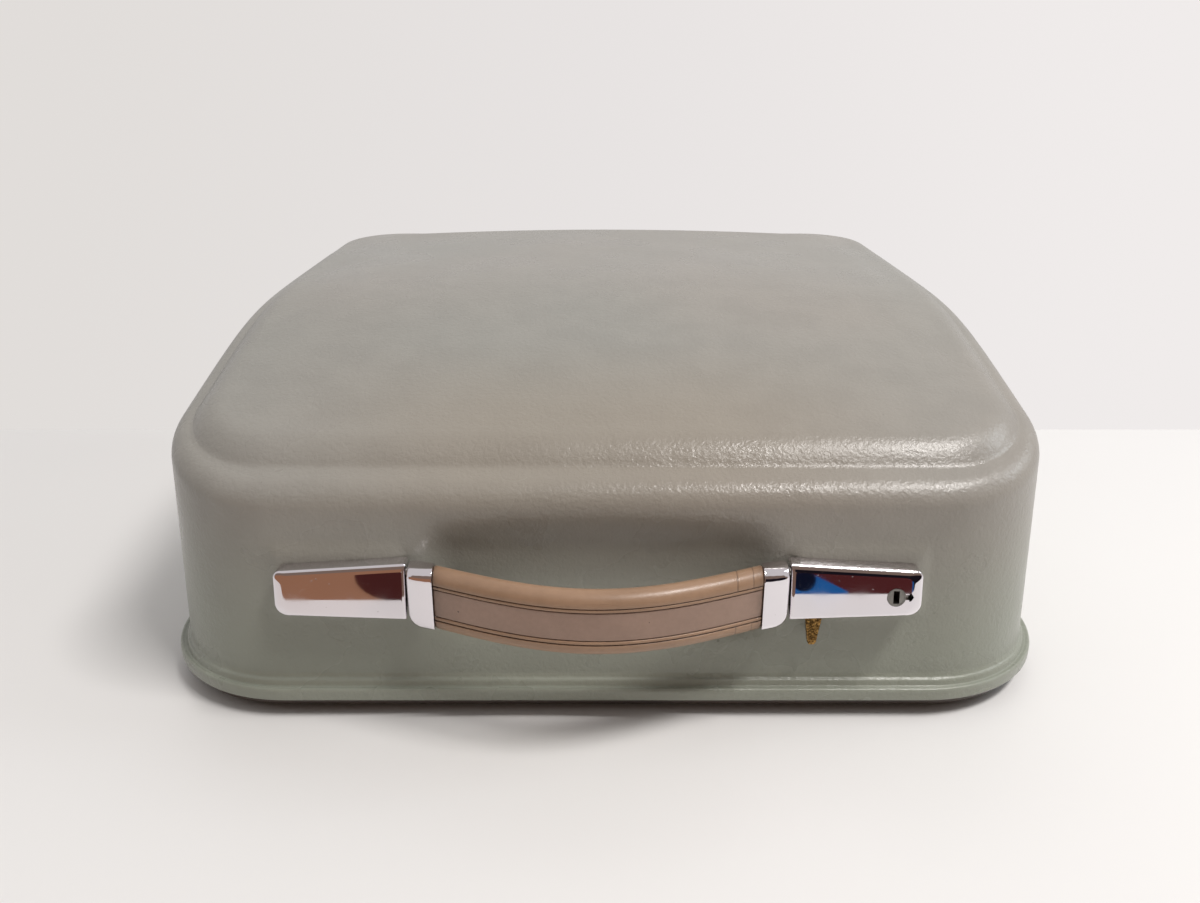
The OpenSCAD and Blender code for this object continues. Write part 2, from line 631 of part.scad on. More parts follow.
// Upper half of the grip's section: depth as a share of the thickness, and height.
grip_top = concat(
    [[0.025, 5.2], [0, 5.4], [0, 5.8], [0.04, 5.95], [0, 6.1], [0, 6.6], [0.045, 6.8]],
    [for (a = [170 : -20 : 90]) [0.42 + 0.41 * cos(a), grip_h / 2 - 3.4 + 3.4 * sin(a)]],
    [for (a = [70 : -23 : 0]) [0.6 + 0.4 * cos(a), grip_h / 2 - 4.5 + 4.5 * sin(a)]]);
grip_section = concat(grip_top,
    [for (i = [len(grip_top) - 1 : -1 : 0]) [grip_top[i][0], -grip_top[i][1]]]);

// Middle of the strap: along the grip, then straight on into the ferrules.
function strap_y(x) = let (c = min(max(x, -grip_half), grip_half)) grip_front(c) + grip_depth(c) / 2;

module strap_shape(grow) {
    reach = grip_half + ferrule_l - 4;
    xs = concat([-reach - grow], [for (i = [0 : 2 : grip_steps]) grip_half * (2 * i / grip_steps - 1)],
        [reach + grow]);
    half = function (x) (strap_t / 2 + grow) * (abs(x) < grip_half ? sqrt(1 + pow(grip_slope(x), 2)) : 1);
    translate([0, 0, grip_z - strap_h / 2 - grow]) linear_extrude(strap_h + 2 * grow)
        polygon(concat([for (x = xs) [x, strap_y(x) - half(x)]],
            [for (i = [len(xs) - 1 : -1 : 0]) [xs[i], strap_y(xs[i]) + half(xs[i])]]));
}

module handle_grip() {
    color([0.66, 0.55, 0.45]) translate([hand_x, 0, 0]) difference() {
        loft([for (i = [0 : grip_steps]) let (x = grip_half * (2 * i / grip_steps - 1))
            [for (p = grip_section) [x, grip_front(x) + grip_depth(x) * p[0], grip_z + p[1]]]]);
        strap_shape(0.1);
    }
}

module handle_strap() {
    color([0.45, 0.45, 0.45]) translate([hand_x, 0, 0]) strap_shape(0);
}

// One ferrule: rounded sections from the grip's end to the plate, bored for the pivot pin.
module ferrule() {
    back = pivot_y + heel_r;
    stations = [[0, grip_end + 1.3, 0], [0.35, grip_end + 0.1, 0.3], [0.65, grip_end - 1.1, 0.9],
        [0.85, grip_end - 1.8, 2], [0.96, grip_end - 2.2, 3.4], [1, grip_end - 2.6, 4.2]];
    difference() {
        loft([for (s = stations)
            let (x = ferrule_x0 + ferrule_l * s[0], z0 = ferrule_z0 + s[2], top = ferrule_z1 - s[2] * 0.2)
            [for (p = rounded([[-s[1], z0], [back, z0 + 1], [back, top], [-s[1] + 0.4, top]],
                [3, 2, heel_r - 0.4, 2.2])) [x, p[0], p[1]]]]);
        rod_x(ferrule_x0 + 3, ferrule_x1 + 1, pivot_y, pivot_z, pivot_r + running);
        strap_shape(0.1);
    }
}

module ferrule_right() {
    color([0.82, 0.82, 0.84]) translate([hand_x, 0, 0]) ferrule();
}

module ferrule_left() {
    color([0.82, 0.82, 0.84]) translate([hand_x, 0, 0]) mirror([1, 0, 0]) ferrule();
}

// Pivot pins fixed in the plates' inner ends, with a collar inside each plate.
module handle_pins() {
    color([0.6, 0.6, 0.6]) translate([hand_x, 0, 0]) for (side = [0, 1]) mirror([side, 0, 0]) {
        rod_x(ferrule_x0 + 3.6, plate_x0 + plate_t + 0.5, pivot_y, pivot_z, pivot_r);
        rod_x(plate_x0 + plate_t + 0.05, plate_x0 + plate_t + 2, pivot_y, pivot_z, pivot_r + 0.4);
    }
}

/* Lock */

module lock_barrel() {
    color([0.72, 0.68, 0.55]) on_lock_axis() difference() {
        union() {
            translate([0, 0, -plate_t - 0.4]) cylinder(r = lock_r, h = plate_t + 0.5);
            translate([0, 0, -lock_end + 1]) cylinder(r = barrel_r, h = lock_end - 1.2 - plate_t);
        }
        translate([0, 0, -lock_end]) cylinder(r = plug_r + running, h = lock_end + 1);
    }
}

module lock_plug() {
    color([0.78, 0.76, 0.7]) on_lock_axis() difference() {
        union() {
            translate([0, 0, -lock_end + 0.6]) cylinder(r = plug_r, h = lock_end - 0.6);
            translate([0, 0, -lock_end - bar_t - 0.1])
                intersection() {
                    cylinder(r = plug_r, h = bar_t + 1);
                    translate([-1.6, -5, 0]) cube([3.2, 10, bar_t + 1]);
                }
        }
        translate([-1.15, -2.5, -12]) cube([2.3, 5, 13]);
        translate([0, 0, -lock_end - bar_t - 1]) cylinder(r = 1, h = 5);
    }
}

// Cam: a short finger that stands over the end of the latch bar when the lock is turned.
module lock_cam() {
    color([0.5, 0.5, 0.48]) on_lock_axis() translate([0, 0, -lock_end - bar_t]) difference() {
        union() {
            cylinder(r = 3.6, h = bar_t);
            translate([0, -1, 0]) cube([cam_reach, 2, bar_t]);
        }
        intersection() {
            translate([0, 0, -1]) cylinder(r = plug_r + 0.03, h = bar_t + 2);
            translate([-1.63, -5, -1]) cube([3.26, 10, bar_t + 2]);
        }
    }
}

module cam_screw() {
    color([0.6, 0.6, 0.6]) on_lock_axis() {
        translate([0, 0, -lock_end - bar_t - 0.2]) cylinder(r = 0.98, h = 3.5);
        translate([0, 0, -lock_end - bar_t - 1.5]) cylinder(r = 3.4, h = 1.35);
    }
}

/* Latch bar, hooks and tab */

cam_tip_z = lock_z - lock_end * sin(face_tilt) - cam_reach; // lowest point of the cam's finger

// Side profile of one hook: a leg with a nose that slides under its stud.
module hook_2d(x0) {
    z0 = catch_z - catch_r - 3.4;
    nose_z = catch_z - catch_r - 0.3;
    polygon([[x0, bar_z + 1], [x0, z0 + 2], [x0 + 2, z0], [x0 + leg_w + hook_nose - 1.5, z0],
        [x0 + leg_w + hook_nose, z0 + 1.5], [x0 + leg_w + hook_nose, nose_z - 0.8],
        [x0 + leg_w + hook_nose - 1.5, nose_z], [x0 + leg_w, nose_z], [x0 + leg_w, bar_z + 1]]);
}

module latch_bar() {
    lug_x = hand_x + lock_x - 3; // released place of the lug that the cam blocks
    color([0.56, 0.55, 0.52]) difference() {
        translate([0, bar_y + bar_t, 0]) rotate([90, 0, 0]) linear_extrude(bar_t) {
            difference() {
                translate([bar_x0, bar_z]) square([bar_x1 - bar_x0, bar_h]);
                for (x = guide_places) slot_2d(hand_x + x, bar_z + bar_h / 2);
            }
            hook_2d(bar_x0);
            hook_2d(bar_x1 - leg_w);
            translate([bar_x1 - 1, cam_tip_z - 3.3]) square([lug_x + 1.5 - bar_x1 + 1, 2.9]);
            translate([lug_x, cam_tip_z - 2]) square([1.5, 2.8]);
        }
        for (x = [-1.6, 1.6]) rod_y(hand_x + tab_x + x, bar_z + 2, 0, 30, 0.82);
    }
}

// Slot for a guide rivet, long enough for the bar's travel.
module slot_2d(x, z) {
    r = guide_r + 0.08;
    translate([x - latch_travel, z - r]) square([latch_travel, 2 * r]);
    for (k = [0, latch_travel]) translate([x - k, z]) circle(r);
}

// Release tab: a brass tongue hanging below the lock plate, carried by an arm through the wall.
module release_tab() {
    x = hand_x + tab_x;
    t = 2;
    y0 = -0.8;
    color([0.6, 0.5, 0.34]) difference() {
        union() {
            translate([0, y0 + t, 0]) rotate([90, 0, 0]) linear_extrude(t)
                polygon(rounded([[x - tab_w / 2, arm_z + arm_h], [x - tab_w / 2, plate_z0 - 1.5],
                    [x - tab_w / 4, tab_z], [x + tab_w / 4, tab_z], [x + tab_w / 2, plate_z0 - 1.5],
                    [x + tab_w / 2, arm_z + arm_h]], [0.4, 1, 1.3, 1.3, 1, 0.4]));
            box([x - tab_w / 2, y0 + t - eps, arm_z], [x + tab_w / 2, bar_y, arm_z + arm_h]);
            box([x - tab_w / 2, bar_y - 1, bar_z + 0.4], [x + tab_w / 2, bar_y, arm_z + eps]);
        }
        for (k = [-1.6, 1.6]) rod_y(x + k, bar_z + 2, 0, 30, 0.82);
        for (z = [tab_z + 1.6 : 1.3 : plate_z0 - 1.6], k = [-35, 35])
            translate([x, y0, z]) rotate([0, k, 0]) cube([12, 0.5, 0.45], center = true);
    }
}

module tab_rivets() {
    color([0.6, 0.5, 0.34]) for (k = [-1.6, 1.6]) {
        x = hand_x + tab_x + k;
        rod_y(x, bar_z + 2, bar_y - 1, bar_y + bar_t + 0.2, 0.8);
        rod_y(x, bar_z + 2, bar_y + bar_t + 0.02, bar_y + bar_t + 0.6, 1.3);
    }
}

/* Base */

bead_y = [112, 174, 236];
bead_half = 128;
bead_r = 5;

// Pressed stiffening bead across the floor, as a capsule standing out of it.
module bead(y, r) {
    drop = floor_z - bead_r + 1.8;
    rod_x(-bead_half, bead_half, y, drop, r);
    for (x = [-bead_half, bead_half]) translate([x, y, drop]) sphere(r);
}

module base_pan() {
    color([0.2, 0.18, 0.16]) difference() {
        union() {
            difference() {
                translate([0, 0, pan_z]) linear_extrude(ledge_z - sheet - pan_z)
                    outline_2d(pan_back, rim_r - pan_back);
                translate([0, 0, floor_z]) linear_extrude(20)
                    outline_2d(pan_back + sheet, rim_r - pan_back - sheet);
            }
            intersection() {
                for (y = bead_y) bead(y, bead_r);
                box([-rim_w / 2, 0, pan_z], [rim_w / 2, rim_d, 20]);
            }
        }
        for (y = bead_y) bead(y, bead_r - sheet);
        for (x = [-1, 1]) box([x * hinge_x - hinge_w / 2 - 0.4, rim_d - 12, floor_z],
            [x * hinge_x + hinge_w / 2 + 0.4, rim_d + 1, floor_z + 1.9]);
        for (x = [-1, 1], y = [foot_y, rim_d - foot_y]) translate([x * foot_x, y, 0])
            cylinder(r = 2.1, h = 20);
        for (p = floor_rivets) translate([p[0], p[1], 0]) cylinder(r = rivet_r + 0.05, h = 20);
        for (x = [-1, 1]) translate([x * stud_x, stud_y, 0]) cylinder(r = 2.1, h = 20);
    }
}

// Angle frame inside the base: a ledge for the cover's rim and an upstanding locating rim.
module base_rim() {
    r = wall_r - (lip_in - rim_out);
    color([0.24, 0.22, 0.2]) difference() {
        union() {
            translate([0, 0, ledge_z - sheet]) linear_extrude(sheet)
                outline_2d(pan_back, rim_r - pan_back);
            translate([0, 0, floor_z]) linear_extrude(lip_z - floor_z) outline_2d(lip_in, r);
        }
        linear_extrude(30) outline_2d(lip_in + sheet, r - sheet);
        for (x = [-1, 1]) box([x * hinge_x - hinge_w / 2 - 0.4, rim_d - 30, floor_z - 1],
            [x * hinge_x + hinge_w / 2 + 0.4, rim_d, floor_z + 1.9]);
    }
}

module base_feet() {
    color([0.1, 0.1, 0.1]) for (x = [-1, 1], y = [foot_y, rim_d - foot_y])
        translate([x * foot_x, y, 0]) difference() {
            union() {
                cylinder(r1 = foot_r - 0.8, r2 = foot_r, h = 0.8);
                translate([0, 0, 0.8]) cylinder(r = foot_r, h = foot_h - 0.8);
            }
            translate([0, 0, -1]) cylinder(r = 2.1, h = 10);
            translate([0, 0, -1]) cylinder(r = 4.2, h = 1.9);
        }
}

module foot_screws() {
    color([0.6, 0.6, 0.58]) for (x = [-1, 1], y = [foot_y, rim_d - foot_y])
        translate([x * foot_x, y, 0]) {
            translate([0, 0, 0.3]) cylinder(r = 2, h = floor_z + 3.2);
            translate([0, 0, 0.2]) cylinder(r = 4, h = 0.7);
            translate([0, 0, floor_z + 0.02]) cylinder(r = 4, h = 2.4, $fn = 6);
        }
}

/* Front catches on the base */

catch_foot = 16; // depth of a catch bracket's foot on the floor
catch_w = 15;

module catch_bracket(x) {
    color([0.45, 0.44, 0.42]) difference() {
        union() {
            translate([0, catch_plate_y + 1.5, 0]) rotate([90, 0, 0]) linear_extrude(1.5)
                polygon(rounded([[x - catch_w / 2, floor_z], [x + catch_w / 2, floor_z],
                    [x + 5, catch_z + 6], [x - 5, catch_z + 6]], [0.3, 0.3, 3, 3]));
            box([x - catch_w / 2, catch_plate_y, floor_z],
                [x + catch_w / 2, catch_plate_y + catch_foot, floor_z + 1.5]);
        }
        rod_y(x, catch_z, catch_plate_y - 1, catch_plate_y + 3, 1.6);
        for (k = [-4.5, 4.5]) translate([x + k, catch_plate_y + catch_foot - 5, 0])
            cylinder(r = rivet_r + 0.05, h = 20);
    }
}

module catch_studs() {
    color([0.65, 0.65, 0.62]) for (x = [catch_lx, catch_rx]) {
        rod_y(x, catch_z, bar_y - 0.6, catch_plate_y, catch_r);
        rod_y(x, catch_z, bar_y - 1.8, bar_y - 0.5, catch_r + 1.5);
        rod_y(x, catch_z, catch_plate_y - 0.5, catch_plate_y + 2.1, 1.58);
        rod_y(x, catch_z, catch_plate_y + 1.52, catch_plate_y + 2.4, 2.6);
    }
}

floor_rivets = concat(
    [for (s = [-1, 1], k = [-11, 11]) [s * hinge_x + k, rim_d - 24]],
    [for (x = [catch_lx, catch_rx], k = [-4.5, 4.5]) [x + k, catch_plate_y + catch_foot - 5]],
    [for (s = [-1, 1], k = [-5, 5]) [s * clip_x + k, clip_y + 5.5]]);

// Rivets through the floor, each with a flat head below and a formed head above its bracket.
module bracket_rivets() {
    color([0.5, 0.5, 0.48]) for (i = [0 : len(floor_rivets) - 1]) {
        p = floor_rivets[i];
        top = floor_z + (i < 4 ? 1.6 : 1.5);
        translate([p[0], p[1], pan_z - 0.7]) cylinder(r = rivet_r, h = top - pan_z + 1);
        translate([p[0], p[1], pan_z - 0.8]) cylinder(r = 2.8, h = 0.78);
        translate([p[0], p[1], top + 0.02]) cylinder(r1 = 2.8, r2 = 2, h = 1);
    }
}

/* Fixings that hold the machine on the base */

pad_x = 140;
pad_h = 6;

module machine_pads() {
    color([0.16, 0.15, 0.15]) for (x = [-1, 1], y = [84, 262]) translate([x * pad_x, y, floor_z]) {
        cylinder(r = 12, h = pad_h - 1);
        translate([0, 0, pad_h - 1]) cylinder(r1 = 12, r2 = 11, h = 1);
    }
}

module machine_studs() {
    color([0.66, 0.66, 0.64]) for (x = [-1, 1]) translate([x * stud_x, stud_y, 0]) {
        translate([0, 0, floor_z]) cylinder(r = 8, h = 2);
        translate([0, 0, floor_z + 2]) cylinder(r = stud_r, h = stud_h - 1);
        translate([0, 0, floor_z + 1 + stud_h]) cylinder(r1 = stud_r, r2 = stud_r - 1, h = 1);
        translate([0, 0, pan_z - 0.7]) cylinder(r = 2.05, h = 3);
        translate([0, 0, pan_z - 0.8]) cylinder(r = 4, h = 0.78);
    }
}

clip_w = 14;
clip_z = floor_z + 5.2; // height of the clips' pivots
ear_t = 1.5;

module clip_bracket(side) {
    x = side * clip_x;
    half = clip_w / 2 + 0.3 + ear_t;
    color([0.45, 0.44, 0.42]) difference() {
        union() {
            box([x - half, clip_y - 5, floor_z], [x + half, clip_y + 10, floor_z + 1.5]);
            for (s = [-1, 1]) translate([x + s * (half - ear_t / 2), 0, 0]) {
                box([-ear_t / 2, clip_y - 4, floor_z], [ear_t / 2, clip_y + 4, clip_z]);
                rod_x(-ear_t / 2, ear_t / 2, clip_y, clip_z, 4);
            }
        }
        rod_x(x - 20, x + 20, clip_y, clip_z, 1.5 + running);
        for (k = [-5, 5]) translate([x + k, clip_y + 5.5, 0]) cylinder(r = rivet_r + 0.05, h = 20);
    }
}

module clip_pins() {
    color([0.65, 0.65, 0.62]) for (side = [-1, 1]) {
        half = clip_w / 2 + 0.3 + ear_t;
        rod_x(side * clip_x - half - 0.5, side * clip_x + half + 0.5, clip_y, clip_z, 1.5);
        for (s = [-1, 1]) translate([side * clip_x + s * (half + 0.5), clip_y, clip_z])
            rotate([0, 90, 0]) cylinder(r = 2.2, h = 0.9, center = true);
    }
}

// One clip: an eye on the pivot, a strap lying back over the floor and an upturned hook.
module clip(side) {
    x = side * clip_x;
    z0 = clip_z - 1.2;
    side_view = rounded([[clip_y, z0 + 1.6], [clip_y, z0], [clip_y + clip_l, z0],
        [clip_y + clip_l, z0 + 7], [clip_y + clip_l - 5, z0 + 8.6], [clip_y + clip_l - 5, z0 + 7],
        [clip_y + clip_l - 1.6, z0 + 6], [clip_y + clip_l - 1.6, z0 + 1.6]],
        [0.2, 0.2, 2, 0.7, 0.2, 0.2, 0.2, 0.4], 3);
    color([0.62, 0.62, 0.6]) difference() {
        union() {
            translate([x, 0, 0]) rotate([90, 0, 90]) linear_extrude(clip_w, center = true)
                polygon(side_view);
            rod_x(x - clip_w / 2, x + clip_w / 2, clip_y, clip_z, 3);
        }
        rod_x(x - clip_w, x + clip_w, clip_y, clip_z, 1.5 + running);
    }
}

place() cover_shell();
place() hinge_leaf(-1);  // hinge_leaf_left
place() hinge_leaf(1);  // hinge_leaf_right
place() hinge_rivets();
place() handle_plate_left();
place() lock_plate();
place() plate_studs();
place() carrier_spacers();
place() latch_carrier();
place() carrier_nuts();
place() bar_guides();
place() detent_spring();
place() lock_barrel();
place() handle_pins();
place() handle_grip();
place() handle_strap();
place() ferrule_left();
place() ferrule_right();
place() latch_bar();
place() release_tab();
place() tab_rivets();
place() lock_plug();
place() lock_cam();
place() cam_screw();
place() base_pan();
place() base_rim();
place() base_feet();
place() foot_screws();
place() hinge_bracket(-1);  // hinge_bracket_left
place() hinge_bracket(1);  // hinge_bracket_right
place() hinge_pins();
place() bracket_rivets();
place() catch_bracket(catch_lx);  // catch_bracket_left
place() catch_bracket(catch_rx);  // catch_bracket_right
place() catch_studs();
place() machine_pads();
place() machine_studs();
place() clip_bracket(-1);  // clip_bracket_left
place() clip_bracket(1);  // clip_bracket_right
place() clip_pins();
place() clip(-1);  // clip_left
place() clip(1);  // clip_right
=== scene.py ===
"""Portable typewriter case: finished surfaces, materials, light and camera round its CAD frame.

Lengths in the formulas are millimetres. X runs across the case, Y from the flange's front face to
the rear and Z up from the table, until the last step shifts Y to the frame's middle and scales to
metres.
"""
import math

import bmesh
import bpy
import numpy as np
from bpy.props import FloatProperty, FloatVectorProperty, PointerProperty
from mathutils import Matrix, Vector


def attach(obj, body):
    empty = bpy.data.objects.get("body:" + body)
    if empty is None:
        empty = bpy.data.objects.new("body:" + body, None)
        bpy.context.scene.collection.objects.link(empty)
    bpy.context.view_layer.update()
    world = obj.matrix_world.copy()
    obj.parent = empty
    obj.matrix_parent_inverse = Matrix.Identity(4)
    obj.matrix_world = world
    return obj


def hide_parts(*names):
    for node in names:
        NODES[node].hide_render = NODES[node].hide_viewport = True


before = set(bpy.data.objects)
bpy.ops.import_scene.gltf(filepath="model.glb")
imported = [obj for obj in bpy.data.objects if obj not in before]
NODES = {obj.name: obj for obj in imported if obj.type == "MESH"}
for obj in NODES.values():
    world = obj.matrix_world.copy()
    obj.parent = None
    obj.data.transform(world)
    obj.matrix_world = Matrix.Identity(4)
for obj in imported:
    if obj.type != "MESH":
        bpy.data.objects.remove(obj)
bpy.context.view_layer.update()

bl_info = {
    "name": "Typewriter Case",
    "version": (1, 0, 0),
    "blender": (4, 5, 0),
    "location": "3D View > Sidebar > Case",
    "description": "Builds the visible surfaces and finishes of a portable typewriter case",
    "category": "Add Mesh",
}

DEPTH_SHIFT = 164.1  # from the flange's front face to the frame's middle
FRONT_SLOPE = math.tan(math.radians(16.5))  # rise of the top's front part
REAR_SLOPE = math.tan(math.radians(2.3))  # rise of its rear part
SIDE_DRAFT = math.tan(math.radians(2.3))  # inward lean of the side walls
END_DRAFT = math.tan(math.radians(2))  # inward lean of the front and rear walls
CROWN_FADE = 18  # run behind the crown's roll over which the camber grows
PLATE_SHARP = 24  # angle in degrees from which the plates' edges are crisp


# Helpers for properties

def paint(red, green, blue):
    """Linear colour of a tone given as 0 to 255 display values."""
    part = np.array([red, green, blue]) / 255
    return tuple(np.where(part <= 0.04045, part / 12.92, ((part + 0.055) / 1.055) ** 2.4))


def length(name, description, default):
    """Length property, its default given in millimetres."""
    return FloatProperty(name=name, description=description, default=default / 1000,
                         unit="LENGTH", subtype="DISTANCE", precision=4)


def colour(name, description, *tone):
    """Colour property, its default given as display values."""
    return FloatVectorProperty(name=name, description=description, default=paint(*tone),
                               subtype="COLOR", size=3, min=0, max=1)


class CaseSizes(bpy.types.PropertyGroup):
    """Sizes of the case's visible surfaces."""

    rim_w: length("Flange width", "Outer width of the cover's rim flange", 375)
    rim_d: length("Flange depth", "Outer depth of the rim flange", 348.5)
    rim_r: length("Flange corner", "Corner radius of the flange seen from above", 61)
    rim_z: length("Flange height", "Height of the flange's lower edge above the table", 8)
    rim_out: length("Flange overhang", "How far the flange stands out from the wall", 5.4)
    wall_r: length("Wall corner", "Corner radius of the wall at its foot", 53.3)
    shell_t: length("Shell thickness", "Thickness of the moulded shell", 3)
    shoulder_front: length("Shoulder height", "Height of the shoulder line at the front", 93)
    bend_y: length("Bend of the top", "Distance from the front to the bend in the top", 144.5)
    bend_soft: length("Bend softness", "Length over which that bend is softened", 18)
    shoulder_r: length("Shoulder radius", "Radius of the rounded shoulder", 8)
    ledge_end: length("Front ledge", "Width of the ledge in front of the crown", 5)
    ledge_side: length("Side ledge", "Width of the ledge beside the crown", 1)
    crown_h: length("Crown height", "Height of the crown above the shoulder line", 7.3)
    crown_roll: length("Crown edge", "Width of the crown's rolled edge", 13)
    camber: length("Camber", "Rise of the crown from its side edges to the middle", 5.5)
    pad_out: length("Pad", "How far the pads behind the plates stand out", 1.2)
    scoop_depth: length("Hand recess", "Depth of the recess behind the handle", 4)
    hand_x: length("Handle's middle", "Sideways place of the handle's middle", -2.9)
    grip_half: length("Half grip", "Half the visible length of the grip", 60.6)
    grip_h: length("Grip height", "Height of the grip", 25)
    grip_t: length("Grip thickness", "Thickness of the grip", 9.5)
    grip_z: length("Grip's middle", "Height of the grip's middle above the table", 56.6)
    grip_end: length("Grip ends", "How far the grip's ends stand out", 8.7)
    grip_bow: length("Grip bow", "How far the grip bows out between its ends", 17.6)
    ferrule_l: length("Ferrule length", "Length of each ferrule", 10.2)
    plate_l: length("Plate length", "Length of each plate", 49.8)
    plate_h: length("Plate height", "Height of each plate at its inner end", 21.9)
    plate_face: length("Plate face", "How far the plates' faces stand out below", 4)
    plate_t: length("Plate thickness", "Thickness of the plates' sheet metal", 1.1)
    lock_in: length("Lock's place", "Distance from the plate's outer end to the lock", 10)
    lock_z: length("Lock height", "Height of the lock's face above the table", 55.8)
    lock_r: length("Lock radius", "Radius of the lock's visible ring", 3.45)


class CaseColours(bpy.types.PropertyGroup):
    """Colours of the case's finishes."""

    shell: colour("Shell", "Sea-foam tone of the moulded shell", 145, 144, 138)
    shell_warm: colour("Shell, warm", "Aged, browner tone of the shell", 149, 144, 137)
    shell_rubbed: colour("Shell, rubbed", "Brown tone where hands rub it", 150, 139, 124)
    shell_green: colour("Shell, green", "Cooler tone low on the shell", 141, 147, 134)
    grip: colour("Grip", "Tone of the grip's rolls", 160, 129, 104)
    grip_panel: colour("Grip panel", "Tone of the grip's middle panel", 160, 133, 117)
    # Dark tone for specks and grooves, also used as painted shade at the grip's ends by the ferrules.
    grime_and_shade: colour("Grime", "Dirt gathered in grooves", 44, 30, 22)
    chrome: colour("Chrome", "Bright plating", 232, 228, 232)
    steel: colour("Plated steel", "Dull zinc plating", 168, 166, 160)
    brass: colour("Brass", "Worn brass", 176, 138, 82)
    enamel: colour("Enamel", "Dark brown enamel of the base", 62, 50, 43)
    rubber: colour("Rubber", "Rubber of feet and pads", 38, 36, 35)
    floor: colour("Floor", "Pale table top", 232, 231, 230)
    wall: colour("Backdrop", "Pale wall behind the table", 231, 227, 226)
    # Painted shade: the backdrop darker at the left.
    backdrop_shaded_left: colour("Backdrop, left", "The same wall at the left", 225, 221, 218)
    # Painted light: the backdrop lighter at the right.
    backdrop_lit_right: colour("Backdrop, right", "The same wall at the right", 240, 236, 235)


def mm(name):
    """One of the sizes, in millimetres."""
    return getattr(bpy.context.scene.case_sizes, name) * 1000


def tint(name):
    """One of the colours, with full opacity."""
    return (*getattr(bpy.context.scene.case_colours, name), 1)


# Surfaces

def soft(t):
    """Smooth step: 3 t squared less 2 t cubed, with t held between 0 and 1."""
    c = np.clip(t, 0, 1)
    return c * c * (3 - 2 * c)


def window(v, low, high, edge):
    """1 between low and high, falling smoothly to 0 over the given edge at both ends."""
    return soft((v - low) / edge) * soft((high - v) / edge)


def through(t, knots, values):
    """Smooth curve through the values at the knots: cubic pieces whose slopes are the means of
    the slopes on both sides."""
    knots, values = np.asarray(knots, float), np.asarray(values, float)
    slopes = np.gradient(values, knots)
    i = np.clip(np.searchsorted(knots, t, side="right") - 1, 0, len(knots) - 2)
    h = knots[i + 1] - knots[i]
    u = np.clip((t - knots[i]) / h, 0, 1)
    return (values[i] * (1 + 2 * u) * (1 - u) ** 2 + slopes[i] * h * u * (1 - u) ** 2
            + values[i + 1] * u * u * (3 - 2 * u) + slopes[i + 1] * h * u * u * (u - 1))


def resample(path, count, blur=0.0):
    """A path's points spread evenly along it, after a blur over the given length."""
    path = np.asarray(path, float)
    run = np.concatenate([[0], np.cumsum(np.linalg.norm(np.diff(path, axis=0), axis=1))])
    fine = np.linspace(0, run[-1], max(count, int(run[-1] * 8)))
    dense = np.stack([np.interp(fine, run, path[:, k]) for k in range(path.shape[1])], 1)
    if blur:
        step = fine[1] - fine[0]
        reach = int(3 * blur / step)
        weight = np.exp(-0.5 * (np.arange(-reach, reach + 1) * step / blur) ** 2)
        weight /= weight.sum()
        for k in range(dense.shape[1]):
            ends = np.concatenate([2 * dense[0, k] - dense[reach:0:-1, k], dense[:, k],
                                   2 * dense[-1, k] - dense[-2:-reach - 2:-1, k]])
            dense[:, k] = np.convolve(ends, weight, mode="valid")
    return dense[np.linspace(0, len(dense) - 1, count).round().astype(int)]


def rounded(points, radii, steps=10):
    """Outline of a polygon whose corners are arcs of the given radii."""
    points = np.asarray(points, float)
    out = []
    for before, at, after, radius in zip(np.roll(points, 1, 0), points, np.roll(points, -1, 0),
                                         radii):
        one = (before - at) / np.linalg.norm(before - at)
        two = (after - at) / np.linalg.norm(after - at)
        half = math.acos(np.clip(one @ two, -1, 1)) / 2
        middle = at + (one + two) / np.linalg.norm(one + two) * radius / math.sin(half)
        start = at + one * radius / math.tan(half) - middle
        end = at + two * radius / math.tan(half) - middle
        turn = math.pi - 2 * half
        share = np.linspace(0, 1, steps)[:, None]
        out.append(middle + (start * np.sin(turn * (1 - share)) + end * np.sin(turn * share))
                   / math.sin(turn))
    return np.concatenate(out)


def spread(outline, count):
    """A closed outline's points, spread evenly, keeping its start."""
    closed = np.vstack([outline, outline[:1]])
    run = np.concatenate([[0], np.cumsum(np.linalg.norm(np.diff(closed, axis=0), axis=1))])
    at = np.linspace(0, run[-1], count, endpoint=False)
    return np.stack([np.interp(at, run, closed[:, k]) for k in range(2)], 1)


def grid_faces(rows, columns):
    """Quads between neighbouring rings of a grid whose columns close on themselves."""
    row, column = np.meshgrid(np.arange(rows - 1), np.arange(columns), indexing="ij")
    a = (row * columns + column).ravel()
    b = (row * columns + (column + 1) % columns).ravel()
    return np.stack([a, a + columns, b + columns, b], 1)


